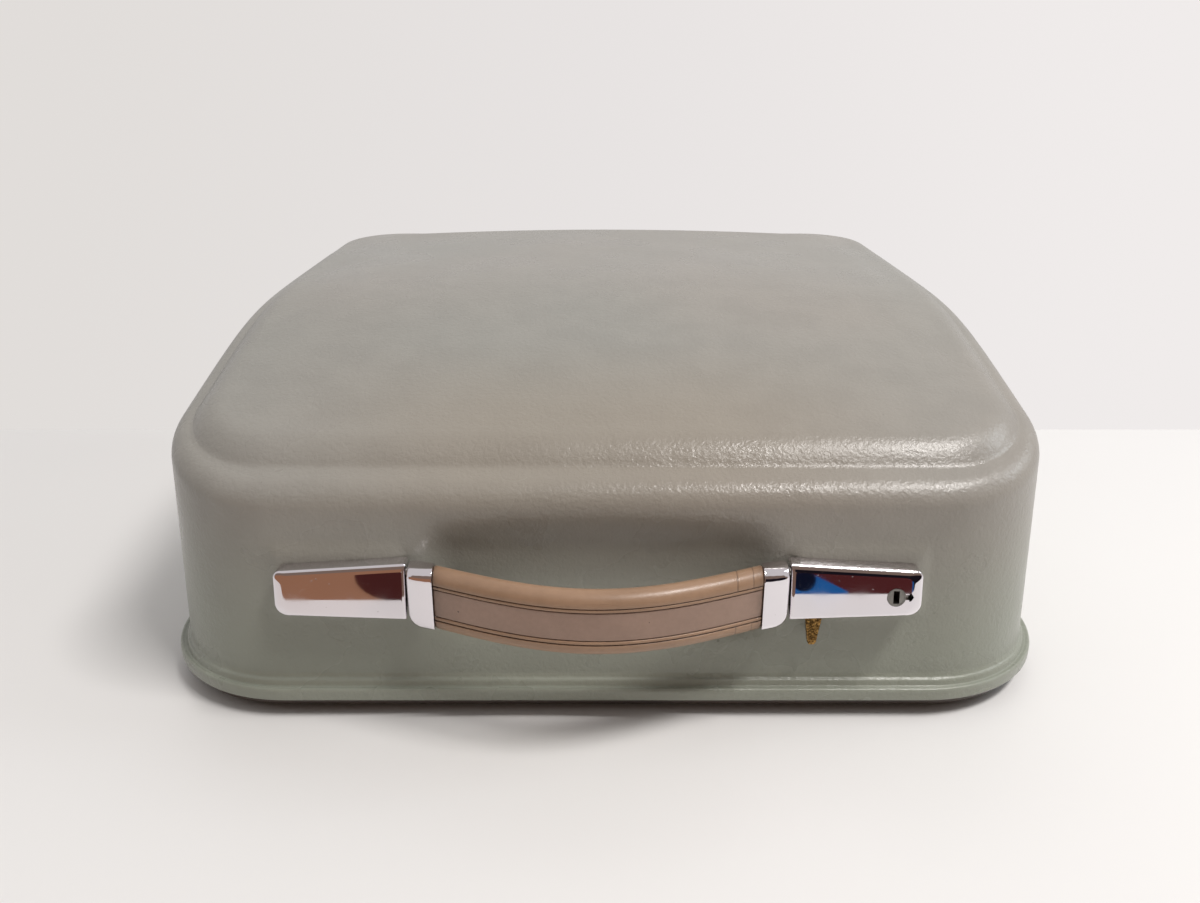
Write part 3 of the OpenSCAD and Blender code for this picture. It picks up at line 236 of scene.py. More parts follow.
def lay(name, rings, body, material, nodes=(), caps=True, ring_loop=False, masks=None,
        sharp=None):
    """Puts a surface given as rings of points, rings by columns by 3, into a mesh object.

    Neighbouring rings are joined by quads and the first and last are closed by a fan to their
    middle, or joined to each other when ring_loop is true. Normals are then turned outwards.
    """
    rings = np.asarray(rings, float)
    rows, columns = rings.shape[:2]
    points = rings.reshape(-1, 3)
    quads = grid_faces(rows, columns)
    masks = {key: np.broadcast_to(value, (rows, columns)).ravel()
             for key, value in (masks or {}).items()}
    triangles = np.zeros((0, 3), int)
    if ring_loop:
        last = (rows - 1) * columns
        one = np.arange(columns)
        two = (one + 1) % columns
        quads = np.vstack([quads, np.stack([last + one, one, two, last + two], 1)])
    elif caps:
        first, last = len(points), len(points) + 1
        points = np.vstack([points, rings[0].mean(0), rings[-1].mean(0)])
        one = np.arange(columns)
        two = (one + 1) % columns
        tail = (rows - 1) * columns
        triangles = np.vstack([
            np.stack([np.full(columns, first), one, two], 1),
            np.stack([np.full(columns, last), tail + two, tail + one], 1)])
        masks = {key: np.append(value, [value[:columns].mean(), value[-columns:].mean()])
                 for key, value in masks.items()}
    points = (points - [0, DEPTH_SHIFT, 0]) / 1000
    mesh = bpy.data.meshes.new(name)
    mesh.vertices.add(len(points))
    mesh.vertices.foreach_set("co", points.astype(np.float32).ravel())
    corners = np.concatenate([quads.ravel(), triangles.ravel()])
    starts = np.concatenate([np.arange(len(quads)) * 4,
                             len(quads) * 4 + np.arange(len(triangles)) * 3])
    mesh.loops.add(len(corners))
    mesh.loops.foreach_set("vertex_index", corners.astype(np.int32))
    mesh.polygons.add(len(starts))
    mesh.polygons.foreach_set("loop_start", starts.astype(np.int32))
    mesh.update(calc_edges=True)
    mesh.validate()
    for key, value in masks.items():
        layer = mesh.attributes.new(key, "FLOAT", "POINT")
        layer.data.foreach_set("value", value.astype(np.float32))
    turned = bmesh.new()
    turned.from_mesh(mesh)
    bmesh.ops.recalc_face_normals(turned, faces=turned.faces)
    turned.to_mesh(mesh)
    turned.free()
    mesh.shade_smooth()
    if sharp:
        mesh.set_sharp_from_angle(angle=math.radians(sharp))
    piece = bpy.data.objects.new(name, mesh)
    bpy.context.scene.collection.objects.link(piece)
    if material:
        mesh.materials.append(material)
    if body:
        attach(piece, body)
    if nodes:
        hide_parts(*nodes)
    return piece


def cut(piece, *cutters):
    """Takes the cutters' volumes out of a piece and removes them."""
    for cutter in cutters:
        modifier = piece.modifiers.new("cut", "BOOLEAN")
        modifier.object = cutter
        modifier.operation = "DIFFERENCE"
        modifier.solver = "EXACT"
    graph = bpy.context.evaluated_depsgraph_get()
    mesh = bpy.data.meshes.new_from_object(piece.evaluated_get(graph), depsgraph=graph)
    piece.modifiers.clear()
    piece.data = mesh
    for cutter in cutters:
        bpy.data.objects.remove(cutter)


# Cover

def shoulder_z(y):
    """Height of the shoulder line: two slopes with a soft bend between them."""
    soft_run = mm("bend_soft")
    return (mm("shoulder_front") + FRONT_SLOPE * y
            - (FRONT_SLOPE - REAR_SLOPE) * soft_run * np.log1p(np.exp((y - mm("bend_y")) / soft_run)))


def plate_places():
    """Inner and outer end of the right plate from the handle's middle, its lower and upper
    inner corner."""
    inner = mm("grip_half") + 0.2 + mm("ferrule_l") + 0.9
    low = mm("grip_z") - 10
    return inner, inner + mm("plate_l"), low, low + mm("plate_h")


def wall_y(z):
    """Depth of the plain front wall at a height."""
    return mm("rim_out") + (z - mm("rim_z") - 6) * END_DRAFT


def relief(x, z):
    """Outward relief of the front wall: a pad behind each plate and a hand recess between."""
    inner, outer, low, high = plate_places()
    u = x - mm("hand_x")
    pad = window(z, low - 6, high + 6, 6) * (window(u, inner, outer + 6, 6)
                                            + window(-u, inner, outer + 6, 6))
    return mm("pad_out") * pad - mm("scoop_depth") * (
        window(u, -inner - 1, inner + 1, 18) * window(z, 30, 86, 18))


def lean(x, y, z):
    """Leans points inward with their height and adds the front wall's relief."""
    half_w, half_d = mm("rim_w") / 2 - mm("rim_out"), mm("rim_d") / 2 - mm("rim_out")
    middle = mm("rim_d") / 2
    k = np.maximum(z - mm("rim_z") - 6, 0)
    px = x * (1 - k * SIDE_DRAFT / half_w)
    py = middle + (y - middle) * (1 - k * END_DRAFT / half_d)
    return np.stack([px, py - np.where(y < middle / 2, relief(px, z), 0), z], -1)


def outline_columns(front, corner, side, rear):
    """Direction numbers of each column round the case: share of the straight half width and
    depth, and the unit vector on its corner arc."""
    def arc(a, b):
        return np.linspace(a, b, corner, endpoint=False)

    def run(count, a, b):
        return np.linspace(a, b, count, endpoint=False)

    quarter = arc(0, math.pi / 2)
    parts = [
        (run(front, -1, 1), -1, 0, -1), (1, -1, np.sin(quarter), -np.cos(quarter)),
        (1, run(side, -1, 1), 1, 0), (1, 1, np.cos(quarter), np.sin(quarter)),
        (run(rear, 1, -1), 1, 0, 1), (-1, 1, -np.sin(quarter), np.cos(quarter)),
        (-1, run(side, 1, -1), -1, 0), (-1, -1, -np.cos(quarter), -np.sin(quarter))]
    rows = [np.stack(np.broadcast_arrays(*part), 0) for part in parts]
    return np.concatenate(rows, 1)


def outline(inset, columns):
    """Rounded rectangle at each inset, as x and y with one row for each inset."""
    s = np.asarray(inset, float)[:, None]
    ledge = mm("rim_out") + mm("shoulder_r")
    half = mm("rim_w") / 2 - s + (mm("ledge_end") - mm("ledge_side")) * np.clip(
        (s - ledge) / mm("ledge_end"), 0, 1)
    radius = np.where(s < mm("rim_out"),
                      mm("rim_r") - (mm("rim_r") - mm("wall_r")) * s / mm("rim_out"),
                      mm("wall_r") - (s - mm("rim_out")))
    cx, cy, ux, uy = columns
    deep = mm("rim_d") / 2 - s
    return cx * (half - radius) + ux * radius, mm("rim_d") / 2 + cy * (deep - radius) + uy * radius


def crown_share(inset, y):
    """Share of the camber: it sets in at the crown's foot in front and at the end of the roll
    behind, and grows over the front 90 mm."""
    foot = mm("rim_out") + mm("shoulder_r") + mm("ledge_end")
    end = foot + mm("crown_roll") + CROWN_FADE
    begin = foot + mm("crown_roll") * soft((y - 100) / 100)
    return soft((inset - begin) / (end - begin)) * soft((y - 10) / 80)


def top_rings(columns, inset, rise, k=1.0):
    """Rings on the top: shoulder height plus a rise plus the camber."""
    x, y = outline(inset, columns)
    k = np.broadcast_to(k, len(inset))[:, None]
    middle = mm("rim_d") / 2
    x, y = x * k, middle + (y - middle) * k
    half = mm("rim_w") / 2 - mm("rim_out") - 12
    bulge = crown_share(np.asarray(inset)[:, None], y) * mm("camber") * (1 - (x / half) ** 2)
    return lean(x, y, shoulder_z(y) + np.asarray(rise)[:, None] + bulge)


def wall_rings(columns, inset, share):
    """Rings on the wall at shares of its height."""
    x, y = outline(np.full(len(share), inset), columns)
    foot = mm("rim_z") + 9
    rise = shoulder_z(y) - mm("shoulder_r") - foot
    return lean(x, y, foot + np.asarray(share)[:, None] * rise)


def rim_rings(columns, inset, height):
    """Rings at fixed heights above the flange's lower edge."""
    x, y = outline(inset, columns)
    return lean(x, y, np.broadcast_to(mm("rim_z") + np.asarray(height, float)[:, None], x.shape))


def cover_rings():
    """The cover from the crown's middle down the outside, round the flange and up the inside."""
    columns = outline_columns(190, 32, 52, 58)
    out, radius, thick = mm("rim_out"), mm("shoulder_r"), mm("shell_t")
    crease = out + radius + mm("ledge_end")
    crown = crease + mm("crown_roll")
    inner_s = crown + CROWN_FADE
    t = np.linspace(1, 0, 30)
    roll = np.stack([crease + mm("crown_roll") * t,
                     0.5 + (mm("crown_h") - 0.5) * (1 - (1 - t) ** 2.4)], 1)
    angle = np.radians(np.linspace(90, 0, 24))
    bend = np.stack([out + radius * (1 - np.cos(angle)), -radius * (1 - np.sin(angle))], 1)
    path = resample(np.vstack([[[inner_s, mm("crown_h")]], roll, bend]), 62, blur=0.7)
    section = np.array([[5.4, 9.4], [5.0, 8.2], [4.6, 7.7], [4.1, 7.55], [3.6, 7.0], [3.2, 6.0],
                        [2.8, 5.25], [2.0, 5.15], [1.3, 5.4], [0.6, 5.25], [0.15, 4.7], [0, 4.0],
                        [0, 1], [0.2, 0.3], [0.8, 0]])
    section = resample(section, 48, blur=0.12)
    centre = np.linspace(0.02, 0.97, 20)
    outer = np.concatenate([
        top_rings(columns, np.full(20, inner_s), np.full(20, mm("crown_h")), centre),
        top_rings(columns, path[:, 0], path[:, 1]),
        wall_rings(columns, out, np.linspace(0.98, 0.02, 36)),
        rim_rings(columns, section[:, 0], section[:, 1])])
    angle = np.radians(np.linspace(5, 88, 6))
    inner_path = resample([[crease + 2, 0.5 - thick], [crease + 8, 3.6 - thick],
                           [crown + 2, mm("crown_h") - thick], [inner_s, mm("crown_h") - thick]],
                          12, blur=1)
    bend_in = out + radius - (radius - thick) * np.cos(angle)
    inner = np.concatenate([
        rim_rings(columns, [2, out + thick], [0, 0]),
        wall_rings(columns, out + thick, np.linspace(0.02, 0.97, 14)),
        top_rings(columns, bend_in, -radius + (radius - thick) * np.sin(angle)),
        top_rings(columns, inner_path[:, 0], inner_path[:, 1]),
        top_rings(columns, np.full(6, inner_s), np.full(6, mm("crown_h") - thick),
                  np.linspace(0.9, 0.03, 6))])
    return np.concatenate([outer, inner])


def pan_rings():
    """The base pan: flat underneath, its lower edge rolled up in a wide curve to the rim, and the
    same curve one sheet's thickness further in and up."""
    columns = outline_columns(60, 32, 20, 60)
    under = resample([[14, 2.3], [9, 2.3], [7.2, 2.4], [6, 2.75], [4.8, 3.6], [3.6, 4.9],
                      [2.6, 6.3], [2.1, 7.2], [2, 7.6]], 26, blur=0.3)
    above = resample([[3.2, 7.6], [3.3, 7.2], [3.8, 6.6], [4.8, 5.4], [5.8, 4.4], [7, 3.7],
                      [8.4, 3.5], [14, 3.5]], 20, blur=0.2)
    edge = np.array([[2.1, 7.7], [3.1, 7.7]])
    middle = mm("rim_d") / 2
    centre = np.linspace(0.03, 0.96, 8)
    profile = np.vstack([np.tile(under[:1], (8, 1)), under, edge, above,
                         np.tile(above[-1:], (8, 1))])
    k = np.concatenate([centre, np.ones(len(under) + 2 + len(above)), centre[::-1]])[:, None]
    x, y = outline(profile[:, 0], columns)
    return np.stack([x * k, middle + (y - middle) * k,
                     np.broadcast_to(profile[:, 1:], x.shape)], -1)


def prism(name, outline_xz, y0, y1):
    """Closed straight prism along Y, used as a cutter."""
    outline_xz = np.asarray(outline_xz, float)
    rings = [np.stack([outline_xz[:, 0], np.full(len(outline_xz), y), outline_xz[:, 1]], 1)
             for y in (y0, y1)]
    return lay(name, rings, None, None)


# Handle

def grip_front(x):
    """Place of the grip's front face: a quarter cosine wave from the middle to each end."""
    return -mm("grip_end") - mm("grip_bow") * np.cos(np.pi / 2 * x / mm("grip_half"))


def grip_depth(x):
    """The grip's thickness along Y, so that it keeps its thickness square to its own bow."""
    slope = (mm("grip_bow") * np.sin(np.pi / 2 * x / mm("grip_half")) * np.pi / 2
             / mm("grip_half"))
    return mm("grip_t") * np.sqrt(1 + slope ** 2)


def grip_section():
    """Half section of the grip: depth, height, darkening of the grooves and panel, from the panel's
    middle over a bead between two grooves and round the half-round roll to the back."""
    thick, top = mm("grip_t"), mm("grip_h") / 2
    h = np.concatenate([np.linspace(0, 5.1, 8), np.linspace(5.25, 7.6, 47)])
    groove = np.exp(-((h - 5.6) / 0.17) ** 2) + np.exp(-((h - 7.2) / 0.19) ** 2)
    bead = np.sqrt(np.clip(1 - ((h - 6.4) / 0.68) ** 2, 0, 1))
    roll = soft((h - 7.1) / 0.3)
    panel = 0.42 - 0.12 * np.clip(1 - (h / 5.4) ** 2, 0, 1)
    depth = (panel - 0.34 * bead) * (1 - roll) + 0.02 * roll + 0.38 * groove
    front = np.stack([depth, h, np.clip(groove, 0, 1), (h < 5.6) * 1.0], 1)
    angle = np.radians(np.linspace(176, 0, 40))
    over = np.stack([thick / 2 * (1 + np.cos(angle)), top - thick / 2 * (1 - np.sin(angle)),
                     np.zeros(40), np.zeros(40)], 1)
    back = np.array([[thick, 4.2, 0, 0], [thick, 2, 0, 0]])
    return np.vstack([front, over, back])


def grip_rings():
    """The grip as its section carried along X on the bow, with masks for the panel and for darkening:
    darker grooves and seams, and painted shade towards the ends where the grip meets the ferrules.
    """
    half = grip_section()
    whole = np.vstack([half, half[:0:-1] * [1, -1, 1, 1]])
    x = mm("grip_half") * np.sin(np.linspace(-math.pi / 2, math.pi / 2, 151))
    x = np.sort(np.concatenate([x, np.ravel([[at - 0.3, at - 0.12, at + 0.12, at + 0.3]
                                             for at in (mm("grip_half") - 10.2,
                                                        mm("grip_half") - 4)])]))
    seam = sum(np.exp(-((x - mm("grip_half") + at) / 0.16) ** 2) for at in (10.2, 4))
    on_roll = (np.abs(whole[:, 1]) > 7.3) * 1.0
    deep = whole[:, 0] / mm("grip_t")
    depth = deep[None, :] * grip_depth(x)[:, None]
    pinch = 0.12 * seam[:, None] * on_roll[None, :]
    end = np.clip(1 - (mm("grip_half") - np.abs(x)) / 0.8, 0, 1)[:, None] ** 2 * 0.35
    height = whole[:, 1][None, :] * (1 - (pinch + end) / 10)
    y = grip_front(x)[:, None] + depth + (pinch + end) * np.cos(np.pi * deep)[None, :]
    rings = np.stack([np.broadcast_to(x[:, None] + mm("hand_x"), y.shape), y,
                      mm("grip_z") + height], -1)
    # Painted shade towards each end, where the grip meets a ferrule.
    painted_end_shade = np.exp(-(mm("grip_half") - np.abs(x)) / 2.2)[:, None]
    grime_and_shade = np.clip(whole[:, 2][None, :] + 0.75 * seam[:, None] * on_roll + 0.55 * painted_end_shade, 0, 1)
    return rings, {"grime_and_shade": grime_and_shade, "panel": whole[:, 3][None, :] + 0 * grime_and_shade}


def ferrule_rings(side):
    """A ferrule: rounded sections from the grip's end to the plate, its edges rounded off."""
    low = mm("grip_z") - mm("grip_h") / 2 - 0.3
    heel_y = wall_y(low) - 0.3
    plate_high = plate_places()[3]
    share = np.concatenate([[0, 0, 0.004, 0.012], np.linspace(0.05, 0.93, 22),
                            [0.955, 0.975, 0.99, 1, 1]])
    round_off = np.concatenate([[1.2, 0.25, 0.1, 0.02], np.zeros(22),
                                [0.05, 0.15, 0.35, 0.7, 1.6]])
    knots = [0, 0.35, 0.65, 0.85, 0.96, 1]
    front = through(share, knots, [9.1, 8.0, 6.8, 5.8, 5.1, 4.6])
    raise_low = through(share, knots, [0, 0.05, 0.2, 1.0, 2.4, 3.6])
    behind = heel_y - through(share, knots, [4.2, 2.2, 0.4, 0, 0, 0])
    above = (mm("grip_z") + mm("grip_h") / 2 + 0.3) * (1 - share) + (plate_high - 0.3) * share
    rings = []
    for s, y0, up, y1, z1, off in zip(share, front, raise_low, behind, above, round_off):
        z0 = low + up
        shape = spread(rounded([[-y0 + off, z0 + off], [y1 - off, z0 + 1 + off],
                                [y1 - off, z1 - off], [-y0 + 0.4 + off, z1 - off]],
                               np.maximum([3.2 - off, 2 - off, 4.1 - off, 4.7 - off], 0.3)), 120)
        x = mm("hand_x") + side * (mm("grip_half") + 0.2 + mm("ferrule_l") * s)
        rings.append(np.column_stack([np.full(120, x), shape]))
    return np.array(rings)


# Plates

def face_y(z):
    """Depth of the plates' leaning face at a height."""
    _, _, low, high = plate_places()
    return -mm("plate_face") + (z - low) * 3 / (high - low)


def plate_rings(side):
    """A plate: from the middle of its face over a rolled border to the wall and back inside.

    Each ring is the outline drawn in towards the face by border widths that differ at the inner
    end, outer end, top and bottom, so the flat field keeps its own proportions.
    """
    inner, outer, low, high = plate_places()
    shape = spread(rounded([[inner, low], [outer, low + 1.8], [outer, high - 3], [inner, high]],
                           [0.5, 4.6, 2.8, 0.5], 14), 220)
    thick = mm("plate_t")

    def ring(draw, behind):
        left, right, under, over = draw
        x = inner + left + (shape[:, 0] - inner) * (outer - inner - left - right) / (outer - inner)
        z = low + under + (shape[:, 1] - low) * (high - low - under - over) / (high - low)
        return x, face_y(z) + behind, z

    border = np.array([0.6, 3.6, 1.2, 2.6])
    rows = []
    for scale in (0.03, 0.35, 0.7, 0.95):
        x, y, z = ring(border, 0)
        mid_x, mid_z = (inner + outer) / 2, (low + high) / 2
        x, z = mid_x + (x - mid_x) * scale, mid_z + (z - mid_z) * scale
        rows.append((x, face_y(z), z))
    for a in np.radians([10, 14, 26, 38, 50, 62, 74, 84, 90]):
        turn = (math.sin(a) - math.sin(math.radians(10))) / (1 - math.sin(math.radians(10)))
        rows.append(ring(border * (1 - turn), 1.5 * (math.cos(math.radians(10)) - math.cos(a))))
    x, _, z = ring([0, 0, 0, 0], 0)
    wall = wall_y(z) - mm("pad_out") - 0.15
    rows += [(x, wall - 0.15, z), (x, wall, z)]
    rim = np.full(4, thick)
    x, _, z = ring(rim, 0)
    rows += [(x, wall, z), (x, wall - 0.4, z)]
    rows += [ring(rim, thick + 0.9), ring(rim + 0.9, thick), ring(rim + 4, thick)]
    mid_x, mid_z = (inner + outer) / 2, (low + high) / 2
    x, z = mid_x + (shape[:, 0] - mid_x) * 0.05, mid_z + (shape[:, 1] - mid_z) * 0.05
    rows.append((x, face_y(z) + thick, z))
    rings = np.array([np.stack(row, 1) for row in rows])
    rings[..., 0] = mm("hand_x") + side * rings[..., 0]
    return rings


# Shader nodes

def put(tree, kind, inputs=None, **settings):
    """Adds a node, sets its settings, and feeds its inputs with values or linked sockets."""
    node = tree.nodes.new(kind)
    for key, value in settings.items():
        setattr(node, key, value)
    for key, value in (inputs or {}).items():
        if isinstance(value, bpy.types.NodeSocket):
            tree.links.new(value, node.inputs[key])
        else:
            node.inputs[key].default_value = value
    return node


def mix(tree, factor, one, two, blend="MIX"):
    """Colour mix; returns its result."""
    node = put(tree, "ShaderNodeMix", {0: factor, 6: one, 7: two}, data_type="RGBA",
               blend_type=blend)
    return node.outputs[2]


def ramp(tree, value, low, high, to_low=0.0, to_high=1.0):
    """Maps a value smoothly from one range to another."""
    return put(tree, "ShaderNodeMapRange", {"Value": value, "From Min": low, "From Max": high,
                                            "To Min": to_low, "To Max": to_high},
               interpolation_type="SMOOTHSTEP").outputs[0]


def noise(tree, vector, scale, detail=3.0, rough=0.5, distortion=0.0):
    """Noise value on a vector."""
    node = put(tree, "ShaderNodeTexNoise", {"Vector": vector, "Scale": scale, "Detail": detail,
                                            "Roughness": rough, "Distortion": distortion})
    return node.outputs[0]


def math_node(tree, operation, one, two=0.5):
    """One arithmetic step."""
    return put(tree, "ShaderNodeMath", {0: one, 1: two}, operation=operation).outputs[0]


def group(name, inputs, outputs, build):
    """Makes a shader node group once; build gets its tree, inputs and outputs."""
    if name in bpy.data.node_groups:
        return bpy.data.node_groups[name]
    tree = bpy.data.node_groups.new(name, "ShaderNodeTree")
    kinds = {"v": "NodeSocketVector", "c": "NodeSocketColor", "f": "NodeSocketFloat"}
    for label, kind, default in inputs:
        socket = tree.interface.new_socket(label, in_out="INPUT", socket_type=kinds[kind])
        if default is not None:
            socket.default_value = default
    for label, kind in outputs:
        tree.interface.new_socket(label, in_out="OUTPUT", socket_type=kinds[kind])
    source = tree.nodes.new("NodeGroupInput").outputs
    target = tree.nodes.new("NodeGroupOutput").inputs
    for label, socket in build(tree, source).items():
        tree.links.new(socket, target[label])
    return tree


def place(tree, which, **inputs):
    """Places a group in a material; keyword names stand for input names with spaces."""
    node = tree.nodes.new("ShaderNodeGroup")
    node.node_tree = which
    for key, value in inputs.items():
        socket = node.inputs[key.replace("_", " ")]
        if isinstance(value, bpy.types.NodeSocket):
            tree.links.new(value, socket)
        else:
            socket.default_value = value
    return node.outputs


def mottle_group():
    """Soft patches of a second tone over a first, with a fine tremble on top."""
    def build(tree, source):
        broad = noise(tree, source["Vector"], source["Scale"], 2, 0.5, 0.2)
        fine = noise(tree, source["Vector"], math_node(tree, "MULTIPLY", source["Scale"], 14), 4)
        mask = ramp(tree, broad, 0.3, 0.7)
        tone = mix(tree, mask, source["Tone"], source["Other Tone"])
        speckle = ramp(tree, fine, 0.3, 0.7, 0.965, 1.03)
        scaled = put(tree, "ShaderNodeVectorMath", {0: tone, 3: speckle}, operation="SCALE")
        return {"Colour": scaled.outputs[0], "Mask": mask}
    return group("Mottle", [("Vector", "v", None), ("Scale", "f", 20.0), ("Tone", "c", None),
                            ("Other Tone", "c", None)], [("Colour", "c"), ("Mask", "f")], build)


def speck_group():
    """Scattered small round marks: a Voronoi cell's middle, kept for a share of the cells."""
    def build(tree, source):
        cell = put(tree, "ShaderNodeTexVoronoi", {"Vector": source["Vector"],
                                                  "Scale": source["Scale"], "Randomness": 1.0})
        near = ramp(tree, cell.outputs["Distance"], source["Size"],
                    math_node(tree, "MULTIPLY", source["Size"], 0.55))
        kept = ramp(tree, put(tree, "ShaderNodeSeparateColor",
                              {0: cell.outputs["Color"]}).outputs[0], source["Bare"],
                    math_node(tree, "ADD", source["Bare"], 0.02))
        return {"Mask": math_node(tree, "MULTIPLY", near, kept)}
    return group("Specks", [("Vector", "v", None), ("Scale", "f", 300.0), ("Size", "f", 0.2),
                            ("Bare", "f", 0.9)], [("Mask", "f")], build)


def scratch_group():
    """Fine scratches: noise drawn out along one axis, kept where it runs high."""
    def build(tree, source):
        turned = put(tree, "ShaderNodeMapping", {"Vector": source["Vector"],
                                                 "Rotation": source["Turn"],
                                                 "Scale": source["Stretch"]})
        line = noise(tree, turned.outputs[0], source["Scale"], 2, 0.4, 0.2)
        patch = noise(tree, source["Vector"], 45, 2)
        line = ramp(tree, line, 0.66, 0.72)
        return {"Mask": math_node(tree, "MULTIPLY", line, ramp(tree, patch, 0.5, 0.62))}
    return group("Scratches", [("Vector", "v", None), ("Scale", "f", 300.0),
                               ("Turn", "v", None), ("Stretch", "v", (1.0, 8.0, 8.0))],
                 [("Mask", "f")], build)


def grain_group():
    """Pebbled grain over a slow unevenness, as a normal."""
    def build(tree, source):
        pebble = noise(tree, source["Vector"], source["Scale"], 4, 0.55, 0.15)
        slow = noise(tree, source["Vector"], math_node(tree, "MULTIPLY", source["Scale"], 0.22),
                     2, 0.5)
        wide = put(tree, "ShaderNodeBump", {"Height": slow, "Distance": source["Slow Depth"],
                                            "Strength": 1.0})
        fine = put(tree, "ShaderNodeBump", {"Height": pebble, "Distance": source["Depth"],
                                            "Strength": 1.0, "Normal": wide.outputs[0]})
        return {"Normal": fine.outputs[0], "Height": pebble}
    return group("Grain", [("Vector", "v", None), ("Scale", "f", 400.0), ("Depth", "f", 0.0002),
                           ("Slow Depth", "f", 0.0004)], [("Normal", "v"), ("Height", "f")], build)


def start(name):
    """New material with an empty tree; returns it, its tree and the object coordinates."""
    material = bpy.data.materials.new(name)
    material.use_nodes = True
    tree = material.node_tree
    tree.nodes.clear()
    return material, tree, put(tree, "ShaderNodeTexCoord").outputs["Object"]


def close(tree, **inputs):
    """Ends a material's tree with its shader; keyword names stand for input names."""
    shader = put(tree, "ShaderNodeBsdfPrincipled",
                 {key.replace("_", " "): value for key, value in inputs.items()})
    put(tree, "ShaderNodeOutputMaterial", {"Surface": shader.outputs[0]})


def shell_finish():
    """Moulded sea-foam shell: soft patches of tone, browner where hands rub the crown's front,
    greener low down, pebbled grain and a few specks."""
    material, tree, where = start("shell_moulding")
    tone = place(tree, mottle_group(), Vector=where, Scale=4.0, Tone=tint("shell"),
                 Other_Tone=tint("shell_warm"))["Colour"]
    axis = put(tree, "ShaderNodeSeparateXYZ", {0: where}).outputs
    low = ramp(tree, axis[2], 0.1, 0.02)
    tone = mix(tree, math_node(tree, "MULTIPLY", low, 0.8), tone, tint("shell_green"))
    near = math_node(tree, "MULTIPLY", ramp(tree, axis[1], -0.07, -0.13),
                     ramp(tree, axis[2], 0.07, 0.1))
    middle = ramp(tree, math_node(tree, "ABSOLUTE", axis[0]), 0.15, 0.03)
    rubbed = math_node(tree, "MULTIPLY", near, middle)
    tone = mix(tree, math_node(tree, "MULTIPLY", rubbed, 0.5), tone, tint("shell_rubbed"))
    specks = place(tree, speck_group(), Vector=where, Scale=90.0, Size=0.07, Bare=0.96)["Mask"]
    tone = mix(tree, math_node(tree, "MULTIPLY", specks, 0.5), tone, tint("grime_and_shade"))
    grain = place(tree, grain_group(), Vector=where, Scale=620.0, Depth=0.00026,
                  Slow_Depth=0.0002)
    gloss = ramp(tree, noise(tree, where, 28, 3), 0.3, 0.7, 0.25, 0.33)
    close(tree, Base_Color=tone, Roughness=gloss, Normal=grain["Normal"])
    return material


def grip_finish():
    """Moulded grip: tan rolls, duller panel, darker grooves and seams, and painted shade at the ends
    by the ferrules.
    """
    material, tree, where = start("grip_plastic")
    panel = put(tree, "ShaderNodeAttribute", attribute_name="panel").outputs["Fac"]
    grime_and_shade = put(tree, "ShaderNodeAttribute", attribute_name="grime_and_shade").outputs["Fac"]
    warm = place(tree, mottle_group(), Vector=where, Scale=26.0, Tone=tint("grip"),
                 Other_Tone=tuple(0.86 * c for c in tint("grip")[:3]) + (1,))["Colour"]
    dull = place(tree, mottle_group(), Vector=where, Scale=40.0, Tone=tint("grip_panel"),
                 Other_Tone=tuple(0.87 * c for c in tint("grip_panel")[:3]) + (1,))["Colour"]
    tone = mix(tree, panel, warm, dull)
    broken = ramp(tree, noise(tree, where, 420, 3), 0.25, 0.6, 0.55, 1)
    # Darkens the grooves and seams, and paints shade at the grip's ends by the ferrules.
    tone = mix(tree, math_node(tree, "MULTIPLY", grime_and_shade, broken), tone, tint("grime_and_shade"))
    specks = place(tree, speck_group(), Vector=where, Scale=260.0, Size=0.11, Bare=0.94)["Mask"]
    tone = mix(tree, math_node(tree, "MULTIPLY", specks, 0.75), tone, tint("grime_and_shade"))
    grain = place(tree, grain_group(), Vector=where, Scale=900.0, Depth=0.00006, Slow_Depth=0.0001)
    gloss = ramp(tree, noise(tree, where, 60, 3), 0.3, 0.7, 0.3, 0.42)
    close(tree, Base_Color=tone, Roughness=gloss, Normal=grain["Normal"])
    return material


def chrome_finish():
    """Bright plating with pits, a film of haze and fine scratches."""
    material, tree, where = start("chrome")
    pits = place(tree, speck_group(), Vector=where, Scale=620.0, Size=0.16, Bare=0.9)["Mask"]
    cloud = ramp(tree, noise(tree, where, 55, 3), 0.48, 0.66)
    pits = math_node(tree, "MULTIPLY", pits, cloud)
    tone = mix(tree, ramp(tree, noise(tree, where, 30, 2), 0.35, 0.65, 0, 0.35), tint("chrome"),
               tuple(0.93 * c for c in tint("chrome")[:3]) + (1,))
    tone = mix(tree, pits, tone, (0.16, 0.12, 0.1, 1))
    scratch = place(tree, scratch_group(), Vector=where, Scale=420.0, Turn=(0.1, 0.5, 0.2),
                    Stretch=(1.0, 9.0, 9.0))["Mask"]
    gloss = math_node(tree, "ADD", ramp(tree, noise(tree, where, 70, 3), 0.35, 0.7, 0.02, 0.045),
                      math_node(tree, "MULTIPLY", scratch, 0.12))
    dents = put(tree, "ShaderNodeBump", {"Height": math_node(tree, "SUBTRACT", 1.0, pits),
                                         "Distance": 0.00005, "Strength": 0.5})
    close(tree, Base_Color=tone, Metallic=1.0, Roughness=gloss, Normal=dents.outputs[0])
    return material


